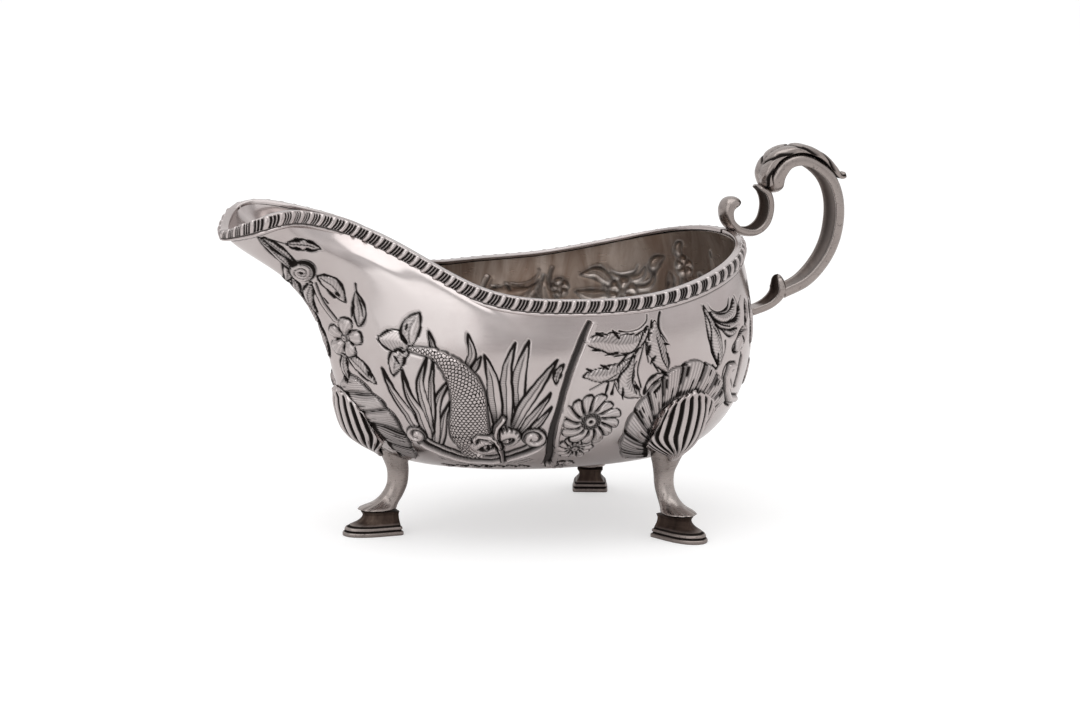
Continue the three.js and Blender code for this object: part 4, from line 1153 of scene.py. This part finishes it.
def leaf_veins(at, across, out, length):
    """Overlapping lobes of the leaf: bold dark veins that sweep back from the edge to the spine."""
    on_back = smooth(out, -0.42, -0.25)
    wide = np.abs(across) * 2
    round_share = np.arctan2(out + 0.42, np.abs(across)) / (math.pi / 2)
    phase = ((at + 9.0 * round_share + 2.0) / 8.8) % 1.0
    broad = 0.06 + 0.12 * smooth(wide, 0.7, 0.95)
    vein = bump(np.minimum(phase, 1 - phase), broad) * smooth(wide, 0.08, 0.2) * on_back
    small = bump(((at + 7.0 * round_share) / 2.1) % 1.0 - 0.5, 0.16) * on_back * 0.25
    spine = bump(wide, 0.07) * on_back * smooth(at, 2, 8)
    rise = 0.3 * np.sin(np.pi * phase) * on_back * smooth(wide, 0.05, 0.4)
    under = 1 - smooth(out, -0.52, -0.47)
    return rise - 0.5 * vein - 0.25 * spine, np.clip(vein * 1.6 + spine * 0.9 + small + 0.95 * under, 0, 1)


# How each casting of the handle swells: its length, width and thickness as shares, and its channel's depth
RIM_SCROLL_SIZES = [
    (0, 0.7, 1.5, 0.5), (0.1, 0.85, 1.5, 0.8), (0.25, 0.9, 1.15, 1), (0.5, 1, 1, 1), (0.9, 1, 1, 1),
    (1, 0.75, 0.45, 1),
]
MAIN_SCROLL_SIZES = [
    (0, 0.7, 1.15, 0), (0.05, 0.9, 1.3, 0.1), (0.14, 1, 1.12, 0.75), (0.3, 1, 1, 1), (0.6, 1, 1, 1),
    (0.85, 0.9, 0.95, 0.9), (1, 0.72, 0.9, 0.6),
]
LEAF_SIZES = [
    (0, 0.85, 1.1, 0), (0.25, 1, 1.1, 0), (0.75, 0.85, 0.9, 0), (0.9, 0.55, 0.9, 0), (1, 0.35, 0.7, 0),
]
SPUR_SIZES = [
    (0, 0.75, 1.1, 0), (0.3, 0.8, 1.1, 0.1), (0.5, 1, 1.1, 1), (0.8, 1.1, 1.3, 1), (1, 0.62, 0.8, 1),
]


def handle(material):
    """The four castings of the handle."""
    strap("rim_scroll", "handle_rim_scroll", RIM_SCROLL_PATH, -1, RIM_SCROLL_WIDTH, RIM_SCROLL_THICK,
          RIM_SCROLL_SIZES, material, ends=(1.2, 0.7), brown=3.0)
    strap("main_scroll", "handle_main_scroll", MAIN_SCROLL_PATH, 1, STRAP_WIDTH, STRAP_THICK,
          MAIN_SCROLL_SIZES, material, ends=(2.4, 0.3), brown=1.05)
    strap("leaf_cap", "handle_leaf_cap", LEAF_PATH, 1, LEAF_WIDTH, LEAF_THICK,
          LEAF_SIZES, material, leaf_veins, 0.22, (0.8, 0.8))
    strap("lower_scroll", "handle_lower_scroll", LOWER_SCROLL_PATH, -1, LOWER_SCROLL_WIDTH,
          LOWER_SCROLL_THICK, SPUR_SIZES, material, ends=(0.3, 2.0), brown=2.4)


# Legs, knee shells and feet, in a frame whose origin is under the foot and whose x points the way of the toe

FOOT_LENGTH, FOOT_WIDTH, FOOT_HEIGHT = 17.4, 11.0, 7.0
COVE_Z = 3.05  # the foot's steps end here, and the dark cove begins
KNEE_TOP_Z = 46.0
FRONT_REACH, BACK_REACH = 10.5, 4.0
BACK_KNEE_SHARE, BACK_LEG_TURN = 0.3367, 68.8
# rows of (height, outer side, inner side, half width)
LEG_ROWS = [
    (7.2, 4.3, -7.7, 5.1), (7.7, 4.1, -7.8, 4.9), (8.3, 2.6, -7.9, 4.5), (9.4, -0.5, -8.5, 3.7),
    (11.5, -3.1, -9.9, 2.95), (14.6, -4.9, -11.2, 2.7), (18.5, -5.1, -11.6, 2.9),
    (21.4, -4.2, -11.4, 4.0), (24.5, -2.6, -11.5, 5.2), (27.5, 0.2, -11, 5.4), (29.5, 1.8, -10, 4.4),
    (31.4, 2.4, -9, 2.6),
]
FRONT_KNEE_ROWS = [
    (24, -1.4, -11, 5.5), (27.3, 3.5, -8, 8.6), (31.5, 8.0, -4, 10.3), (38.3, 10.3, 0, 10.5),
    (42.9, 10.6, 3, 8.8), (46, 10.3, 5, 4.6),
]
BACK_KNEE_ROWS = [
    (24, -1.4, -16, 5.5), (27.3, 1.5, -14, 8.4), (31.5, 3.4, -12, 10.0), (38.3, 4.6, -8, 10.2),
    (42.9, 4.6, -6, 8.8), (46, 4.0, -4, 4.6),
]
FRONT_RIBS, BACK_RIBS = 11, 13
SHELL_TIP_Z = 23.4
SHELL_LOW_Z = 29.5  # where the outermost ribs end
SHELL_SPREAD = 126  # degrees from the middle rib to the outermost


class Placing:
    """Where one leg stands, and the bowl's wall seen from it."""

    def __init__(self, wall, share, turn, reach):
        row = int(np.abs(bowl_point(share, wall.depth)[:, 2] - KNEE_TOP_Z).argmin())
        at = bowl_point(share, wall.depth)[row]
        self.angle = math.radians(turn)
        self.ahead = np.array([math.cos(self.angle), math.sin(self.angle), 0])
        self.aside = np.array([-math.sin(self.angle), math.cos(self.angle), 0])
        self.origin = np.array([at[0], at[1], 0]) - self.ahead * reach
        coarse = wall.points[::4, ::5]
        rows, cols = coarse.shape[:2]
        faces = [
            (r * cols + c, (r + 1) * cols + c, (r + 1) * cols + (c + 1) % cols, r * cols + (c + 1) % cols)
            for r in range(rows - 1) for c in range(cols)
        ]
        self.tree = BVHTree.FromPolygons([tuple(p) for p in coarse.reshape(-1, 3)], faces)

    def keep_out(self, points, clearance):
        """Points in the leg's frame, pushed out of the bowl until they clear its wall."""
        world = self.place(points).reshape(-1, 3)
        room = np.broadcast_to(clearance, points.shape[:-1]).reshape(-1)
        for i, point in enumerate(world):
            found, normal, _, _ = self.tree.find_nearest(Vector(point))
            gap = (Vector(point) - found).dot(normal)
            if gap < room[i]:
                world[i] = point + np.array(normal) * (room[i] - gap)
        return world.reshape(points.shape)

    def place(self, points):
        return self.origin + points[..., 0:1] * self.ahead + points[..., 1:2] * self.aside \
            + points[..., 2:3] * np.array([0, 0, 1.0])


def ankle_creases(angle, z):
    """Two creases over the toe of the leg's flare."""
    low = 1 - smooth(z, 8.0, 10.5)
    return sum(bump(angle - a, 0.10) for a in (0.42, -0.42, 0.9, -0.9)) * low


def leg(name, node_name, placing, material):
    """The leg from its flared ankle up to the wall behind the knee."""
    z = np.concatenate([np.arange(7.02, 10, 0.2), np.arange(10, 31.2, 0.4)])
    outer, inner, half = profile(spline(LEG_ROWS, 20), z)
    angle = np.linspace(-np.pi, np.pi, 64, endpoint=False)
    lip = 1 - 0.55 * bump(z - 7.0, 0.35)
    x = (outer + inner)[:, None] / 2 + (outer - inner)[:, None] / 2 * np.cos(angle) * lip[:, None]
    y = half[:, None] * np.sin(angle) * lip[:, None]
    crease = ankle_creases(angle[None, :], z[:, None])
    x = x - 0.35 * crease * np.cos(angle)
    points = np.stack([x, y, np.broadcast_to(z[:, None], x.shape)], -1)
    tone = 0.5 * crease + 0.6 * bump(z - 7.0, 0.12)[:, None]
    skin(name, placing.keep_out(points, 0.05), tone, material, [node_name], 60)


def knee_shell(name, node_name, placing, knee_rows, ribs, lean, material):
    """The fluted shell: ribs that fan out from a tip on the leg and end in a scalloped edge on the wall."""
    table = np.array([(21.6, -3.4, -11.4, 4.0)] + knee_rows, float)
    cols, rows = 240, 100
    u, rho = np.meshgrid(np.linspace(-1, 1, cols + 1), np.linspace(0, 1, rows + 1))
    wave = np.abs(np.cos(u * math.pi * ribs / 2))
    low = SHELL_LOW_Z + 2.5 * smooth(-lean * u, 0, 1)
    top = low + (KNEE_TOP_Z - 0.5 - low) * (1 - np.abs(u) ** 2.3)
    top = top - 0.55 * (1 - wave**0.6)
    z = SHELL_TIP_Z + (top - SHELL_TIP_Z) * rho
    spread = 0.06 + 0.94 * smooth(z, SHELL_TIP_Z - 1.5, 32.5)
    angle = u * math.radians(SHELL_SPREAD) * spread
    outer, inner, half = profile(spline(table, 20), z)
    groove = within(wave, 0.56, 0.84) * smooth(rho, 0.05, 0.22) * within(rho + 0.09 * wave**2, 0.935, 0.965)
    groove = groove * (1 - smooth(np.abs(u), 0.93, 0.97))
    rib = wave**0.8 * smooth(rho, 0.0, 0.25) * (1 - 0.7 * smooth(rho, 0.93, 1.0))
    lift = 0.6 * rib - 0.5 * groove - 0.25
    middle, deep = (outer + inner) / 2, (outer - inner) / 2

    def at(offset):
        x = middle + (deep + offset) * np.cos(angle)
        aside = 1.8 * (1 - smooth(rho, 0, 0.85)) + 1.1 * smooth(lean * u, 0.3, 0.9) * smooth(rho, 0, 0.3)
        y = (half + offset) * np.sin(angle) - lean * aside
        return np.stack([x, y, z], -1)

    thin = 0.35 + 0.75 * (1 - smooth(rho, 0.94, 1.0)) * (1 - smooth(np.abs(u), 0.95, 1.0))
    front = placing.keep_out(at(lift), thin + 0.5 * rib - 0.25 * groove)
    back = placing.keep_out(at(-1.6), 0.05)
    bm = closed_sheet(cols, rows, cols, rows)
    chase_and_shade_layer = bm.verts.layers.float.new("chase_and_shade")
    for v in bm.verts:
        col, row, behind = round(v.co.x * cols), round(v.co.y * rows), v.co.z > 0.5
        # painted shade: the shell's back, which faces the bowl, is made nearly black
        v[chase_and_shade_layer] = 0.9 if behind else float(groove[row, col])
        v.co = (back if behind else front)[row, col] * MM
    face_outwards(bm)
    piece = write_mesh(name, bm, material, [node_name])
    piece.data.set_sharp_from_angle(angle=math.radians(75))


# rows of (height, heel, length, width, tone) of the foot, as shares of its length and width
FOOT_ROWS = [
    (0.0, -0.475, 0.97, 0.96, 0.1), (0.12, -0.487, 0.99, 0.99, 0.05), (0.5, -0.49, 1.0, 1.0, 0.0),
    (0.95, -0.488, 0.995, 0.99, 0.0), (1.15, -0.48, 0.975, 0.97, 0.1), (1.22, -0.462, 0.925, 0.915, 1.0),
    (1.7, -0.459, 0.91, 0.90, 1.0), (1.82, -0.475, 0.95, 0.94, 0.1), (2.15, -0.475, 0.945, 0.935, 0.0),
    (2.5, -0.468, 0.92, 0.91, 0.05), (2.6, -0.452, 0.865, 0.855, 1.0), (3.0, -0.450, 0.84, 0.83, 0.95),
    (3.1, -0.45, 0.83, 0.82, 0.3), (3.75, -0.447, 0.72, 0.73, 0.6), (4.3, -0.443, 0.66, 0.67, 0.75),
    (5.0, -0.44, 0.61, 0.62, 0.75), (5.8, -0.438, 0.585, 0.60, 0.75), (6.5, -0.438, 0.60, 0.65, 0.8),
    (6.85, -0.44, 0.62, 0.70, 0.8), (7.0, -0.44, 0.62, 0.72, 0.8),
]
FOOT_OUTLINE = [  # half of it, from the heel to the toe, as shares of its length and width
    (0.0, 0.0), (0.0, 0.25), (0.0, 0.42), (0.02, 0.485), (0.09, 0.5), (0.25, 0.5), (0.42, 0.5),
    (0.58, 0.485), (0.74, 0.43), (0.87, 0.33), (0.96, 0.19), (1.0, 0.0),
]


def foot(name, node_name, placing, material):
    """A stepped foot with a flat heel and a round toe."""
    side = spline(FOOT_OUTLINE, 5)
    outline = np.vstack([side, side[-2:0:-1] * (1, -1)])
    table = np.array(FOOT_ROWS, float)
    z = np.unique(np.concatenate([table[:, 0], np.arange(0, FOOT_HEIGHT, 0.12)]))
    heel, long, wide, tone = profile(FOOT_ROWS, z)
    x = FOOT_LENGTH * (heel[:, None] + outline[:, 0] * long[:, None])
    y = FOOT_WIDTH * wide[:, None] * outline[:, 1]
    points = np.stack([x, y, np.broadcast_to(z[:, None], x.shape)], -1)
    groove = np.broadcast_to(np.where(z < COVE_Z, tone, tone * 0.45)[:, None], x.shape)
    cove = np.broadcast_to(np.where(z < COVE_Z, tone * 0.5, tone * 1.35)[:, None], x.shape)
    brown = np.clip(cove + 0.22, 0, 1)
    skin(name, placing.place(points), groove, material, [node_name], 55, brown)


def legs(wall, material, rib_material):
    """The three legs, each with its knee shell and its foot."""
    for name, share, turn, reach, rows, ribs, lean in (
        ("front", 0.0, 180.0, FRONT_REACH, FRONT_KNEE_ROWS, FRONT_RIBS, 0),
        ("near", BACK_KNEE_SHARE, -BACK_LEG_TURN, BACK_REACH, BACK_KNEE_ROWS, BACK_RIBS, 1),
        ("far", 1 - BACK_KNEE_SHARE, BACK_LEG_TURN, BACK_REACH, BACK_KNEE_ROWS, BACK_RIBS, -1),
    ):
        placing = Placing(wall, share, turn, reach)
        leg(f"leg_{name}_cast", f"leg_{name}", placing, material)
        knee_shell(f"knee_{name}_shell", f"knee_shell_{name}", placing, rows, ribs, lean, rib_material)
        foot(f"foot_{name}_cast", f"foot_{name}", placing, material)


# Materials

class Graph:
    """A node tree. Each call adds a node, sets or links its inputs, and gives back one of its outputs."""

    def __init__(self, owner):
        owner.use_nodes = True
        self.nodes, self.links = owner.node_tree.nodes, owner.node_tree.links

    def feed(self, socket, value):
        if isinstance(value, bpy.types.NodeSocket):
            self.links.new(value, socket)
        else:
            socket.default_value = value

    def add(self, kind, inputs, out=0, **settings):
        made = self.nodes.new("ShaderNode" + kind)
        for key, value in settings.items():
            setattr(made, key, value)
        for key, value in inputs.items():
            self.feed(made.inputs[key], value)
        return made.outputs[out]

    def math(self, operation, *values, clamp=False):
        return self.add("Math", dict(enumerate(values)), operation=operation, use_clamp=clamp)

    def vector(self, operation, *values):
        out = "Value" if operation == "LENGTH" else "Vector"
        return self.add("VectorMath", dict(enumerate(values)), out, operation=operation)

    def remap(self, value, low, high, to_low, to_high):
        ends = {"From Min": low, "From Max": high, "To Min": to_low, "To Max": to_high}
        return self.add("MapRange", {"Value": value, **ends}, "Result")

    def noise(self, place, **sizes):
        return self.add("TexNoise", {"Vector": place, **sizes}, "Fac")

    def attribute(self, name):
        return self.add("Attribute", {}, "Fac", attribute_name=name)

    def blend(self, share, first, second):
        """One colour laid over another."""
        return self.add("Mix", {"Factor": share, 6: first, 7: second}, 2, data_type="RGBA")

    def ramp(self, value, stops):
        """A colour for each value, eased between stops of (value, colour)."""
        color = self.add("ValToRGB", {"Fac": value}, "Color")
        band = color.node.color_ramp
        while len(band.elements) < len(stops):
            band.elements.new(0.5)
        for element, (position, tone) in zip(band.elements, stops):
            element.position = position
            element.color = (*tone, 1)
        return color


def new_material(name):
    material = bpy.data.materials.new(name)
    graph = Graph(material)
    return material, graph, graph.nodes["Principled BSDF"]


BRIGHT = [(0.32, (0.49, 0.435, 0.425)), (0.62, (0.57, 0.525, 0.515))]
GREY = [(0.32, (0.295, 0.252, 0.235)), (0.66, (0.385, 0.345, 0.325))]
# black of the oxide in the recesses, used for painted shade as well
RECESS_AND_SHADE_BLACK = (0.010, 0.0075, 0.0065, 1)
HATCH_PITCH = 0.85  # millimetres between the chaser's fine lines
INSIDE_BROWN = [(0.36, (0.34, 0.27, 0.23)), (0.5, (0.49, 0.43, 0.39)), (0.64, (0.64, 0.59, 0.555))]
CHANNEL_BROWN = [(0.32, (0.028, 0.019, 0.015)), (0.5, (0.075, 0.05, 0.04)), (0.68, (0.17, 0.125, 0.10))]


def scale_arcs(graph):
    """How black the arcs round the fish's scales are."""
    spot = graph.add("CombineXYZ", {"X": graph.attribute("scale_across"), "Y": graph.attribute("scale_run")})
    rings = []
    for shift in ((0, 0, 0), (0.5, 0.5, 0)):
        cell = graph.vector("MULTIPLY", spot, (1 / SCALE_WIDE, 1 / SCALE_LONG, 0))
        cell = graph.vector("FRACTION", graph.vector("ADD", cell, shift))
        cell = graph.vector("SUBTRACT", cell, (0.5, 1, 0))
        reach = graph.vector("LENGTH", graph.vector("MULTIPLY", cell, (SCALE_WIDE, SCALE_LONG * 1.05, 0)))
        rings.append(graph.math("ABSOLUTE", graph.math("SUBTRACT", reach, SCALE_WIDE / 2 - 0.04)))
    line = graph.remap(graph.math("MINIMUM", *rings), 0.09, 0.22, 0.95, 0.0)
    return graph.math("MULTIPLY", line, graph.attribute("scales"))


def silver(name, roughness, worn, metal, brown_tones, pits=0.0):
    """Silver with tarnish, fine scratches, casting pits, black left in the recesses and painted shade."""
    material, graph, shader = new_material(name)
    place = graph.add("TexCoord", {}, "Object")
    slanted = graph.add("Mapping", {"Vector": place, "Rotation": (0.4, 0.2, 0.7), "Scale": (1.0, 1.0, 9.0)})
    hanging = graph.add("Mapping", {"Vector": place, "Scale": (1.0, 1.0, 0.22)})
    cloud = graph.noise(place, Scale=38.0, Detail=5.0, Roughness=0.6)
    fine = graph.noise(place, Scale=520.0, Detail=3.0, Roughness=0.6)
    grain = graph.noise(place, Scale=1150.0, Detail=2.0, Roughness=0.55)
    scratch = graph.noise(slanted, Scale=150.0, Detail=2.0)
    streak = graph.noise(hanging, Scale=120.0, Detail=5.0, Roughness=0.6, Distortion=0.9)
    pit = graph.remap(grain, 0.57, 0.72, 0.0, pits)
    # how black each point is: the deepest of its cut (which carries painted shade too), pit and scale line,
    # and the hatching over them
    wave = graph.math("SINE", graph.math("MULTIPLY", graph.attribute("phase"), 2 * math.pi / HATCH_PITCH))
    hatching = graph.math("MULTIPLY", graph.math("MULTIPLY_ADD", wave, 0.5, 0.5), graph.attribute("hatch"))
    cut = graph.math("MAXIMUM", graph.attribute("chase_and_shade"), graph.math("MAXIMUM", pit, scale_arcs(graph)))
    black = graph.math("ADD", cut, graph.math("MULTIPLY", hatching, 0.45), clamp=True)
    black = graph.remap(black, 0.12, 0.85, 0.0, 1.0)
    # how brown it is, which the inside of the bowl and the hollows of the castings are
    brown = graph.attribute("tarnish")
    color = graph.blend(brown, graph.ramp(cloud, metal), graph.ramp(streak, brown_tones))
    rough = graph.remap(scratch, 0.0, 1.0, roughness * 0.7, roughness * 1.5)
    rough = graph.math("ADD", rough, graph.remap(black, 0.0, 1.0, 0.0, 0.5), clamp=True)
    dents = {"Strength": worn, "Distance": 0.0001, "Height": graph.math("SUBTRACT", fine, pit)}
    finish = {
        "Base Color": graph.blend(black, color, RECESS_AND_SHADE_BLACK),
        "Metallic": graph.math("SUBTRACT", 1.0, black),  # the black in the cuts is not metal
        "Specular IOR Level": 0.07,
        "Roughness": graph.math("MULTIPLY_ADD", brown, 0.12, rough, clamp=True),
        "Normal": graph.add("Bump", dents),
    }
    for socket, value in finish.items():
        graph.feed(shader.inputs[socket], value)
    return material


# Camera, light and floor

LOOK_AT = Vector((-11.3, 0.0, 50.0)) * MM
AZIMUTH, ELEVATION, ROLL = math.radians(-20.32), math.radians(10.64), math.radians(0.24)
DISTANCE = 1.0
LENS, SENSOR = 112.0, 36.0
SHIFT_X, SHIFT_Y = 0.030, -0.0012
LAMP_AIM = (0, 0, 0.05)


def add_camera():
    """The camera that took the photo, as far as the object shows it."""
    data = bpy.data.cameras.new("camera")
    data.lens, data.sensor_width = LENS, SENSOR
    data.shift_x, data.shift_y = SHIFT_X, SHIFT_Y
    data.clip_start, data.clip_end = 0.05, 20
    camera = bpy.data.objects.new("camera", data)
    ahead = Vector((
        -math.sin(AZIMUTH) * math.cos(ELEVATION),
        math.cos(AZIMUTH) * math.cos(ELEVATION),
        -math.sin(ELEVATION),
    ))
    camera.location = LOOK_AT - ahead * DISTANCE
    turn = ahead.to_track_quat("-Z", "Y").to_matrix().to_4x4()
    camera.rotation_euler = turn.to_euler()
    camera.rotation_euler.rotate_axis("Z", ROLL)
    bpy.context.scene.collection.objects.link(camera)
    bpy.context.scene.camera = camera


def add_area(name, place, size, radiance):
    """A soft box whose face shines with the given brightness on the middle of the bowl."""
    data = bpy.data.lights.new(name, "AREA")
    data.shape = "RECTANGLE"
    data.size, data.size_y = size
    data.energy = radiance * math.pi * size[0] * size[1]
    lamp = bpy.data.objects.new(name, data)
    lamp.location = place
    lamp.rotation_euler = (Vector(LAMP_AIM) - Vector(place)).to_track_quat("-Z", "Y").to_euler()
    bpy.context.scene.collection.objects.link(lamp)


def add_floor():
    """A white table that the camera sees almost without shade."""
    bm = bmesh.new()
    bmesh.ops.create_grid(bm, x_segments=2, y_segments=2, size=6.0)
    mesh = bpy.data.meshes.new("floor")
    bm.to_mesh(mesh)
    bm.free()
    floor = bpy.data.objects.new("floor", mesh)
    bpy.context.scene.collection.objects.link(floor)
    material, graph, shader = new_material("white_table")
    mirrored = graph.add("LightPath", {}, "Is Glossy Ray")
    tint = graph.blend(mirrored, (0.945, 0.945, 0.945, 1), (0.80, 0.785, 0.78, 1))
    graph.feed(shader.inputs["Base Color"], tint)
    shader.inputs["Roughness"].default_value = 0.85
    glow = graph.add("Emission", {"Strength": 1.22})
    share = graph.math("MULTIPLY", graph.add("LightPath", {}, "Is Camera Ray"), 0.38)
    surface = graph.add("MixShader", {"Fac": share, 1: shader.outputs[0], 2: glow})
    graph.feed(graph.nodes["Material Output"].inputs["Surface"], surface)
    mesh.materials.append(material)


SKY = [
    (0.0, (0.56, 0.54, 0.54)), (0.12, (0.74, 0.72, 0.72)), (0.4, (0.88, 0.87, 0.87)),
    (1.0, (0.95, 0.95, 0.95)),
]


def add_world():
    """A white backdrop for the camera, and a studio of soft greys for the silver to reflect."""
    world = bpy.data.worlds.new("studio")
    bpy.context.scene.world = world
    graph = Graph(world)
    studio = graph.nodes["Background"]
    place = graph.add("TexCoord", {}, "Generated")
    upward = graph.remap(graph.add("SeparateXYZ", {0: place}, "Z"), -0.1, 1.0, 0.0, 1.0)
    rooms = graph.noise(place, Scale=1.6, Detail=1.0)
    graph.feed(studio.inputs["Color"], graph.ramp(upward, SKY))
    graph.feed(studio.inputs["Strength"], graph.remap(rooms, 0.3, 0.7, 0.78, 1.08))
    white = graph.add("Background", {"Color": (1, 1, 1, 1)})
    seen = graph.add("LightPath", {}, "Is Camera Ray")
    surface = graph.add("MixShader", {"Fac": seen, 1: studio.outputs[0], 2: white})
    graph.feed(graph.nodes["World Output"].inputs["Surface"], surface)


add_camera()
add_world()
add_floor()
add_area("overhead", (-0.2, -0.2, 1.9), (2.6, 2.2), 1.1)
add_area("left", (-1.9, -1.4, 0.9), (1.9, 1.7), 0.66)

polished = silver("polished_silver", 0.16, 0.05, BRIGHT, INSIDE_BROWN)
cast = silver("cast_silver", 0.24, 0.22, GREY, CHANNEL_BROWN, 0.4)
worn = silver("worn_silver", 0.2, 0.12, BRIGHT, CHANNEL_BROWN, 0.25)
wall = Wall()
chase_and_shade(wall)
bowl_sections(wall, polished)
border_length("border_near", "rim_border_near", BORDER_BUTT, 0.5 - BORDER_BUTT, True, polished)
border_length("border_far", "rim_border_far", 0.5 + BORDER_BUTT, 1 - BORDER_BUTT, False, polished)
handle(cast)
legs(wall, cast, worn)

bpy.context.scene.view_settings.view_transform = "Standard"
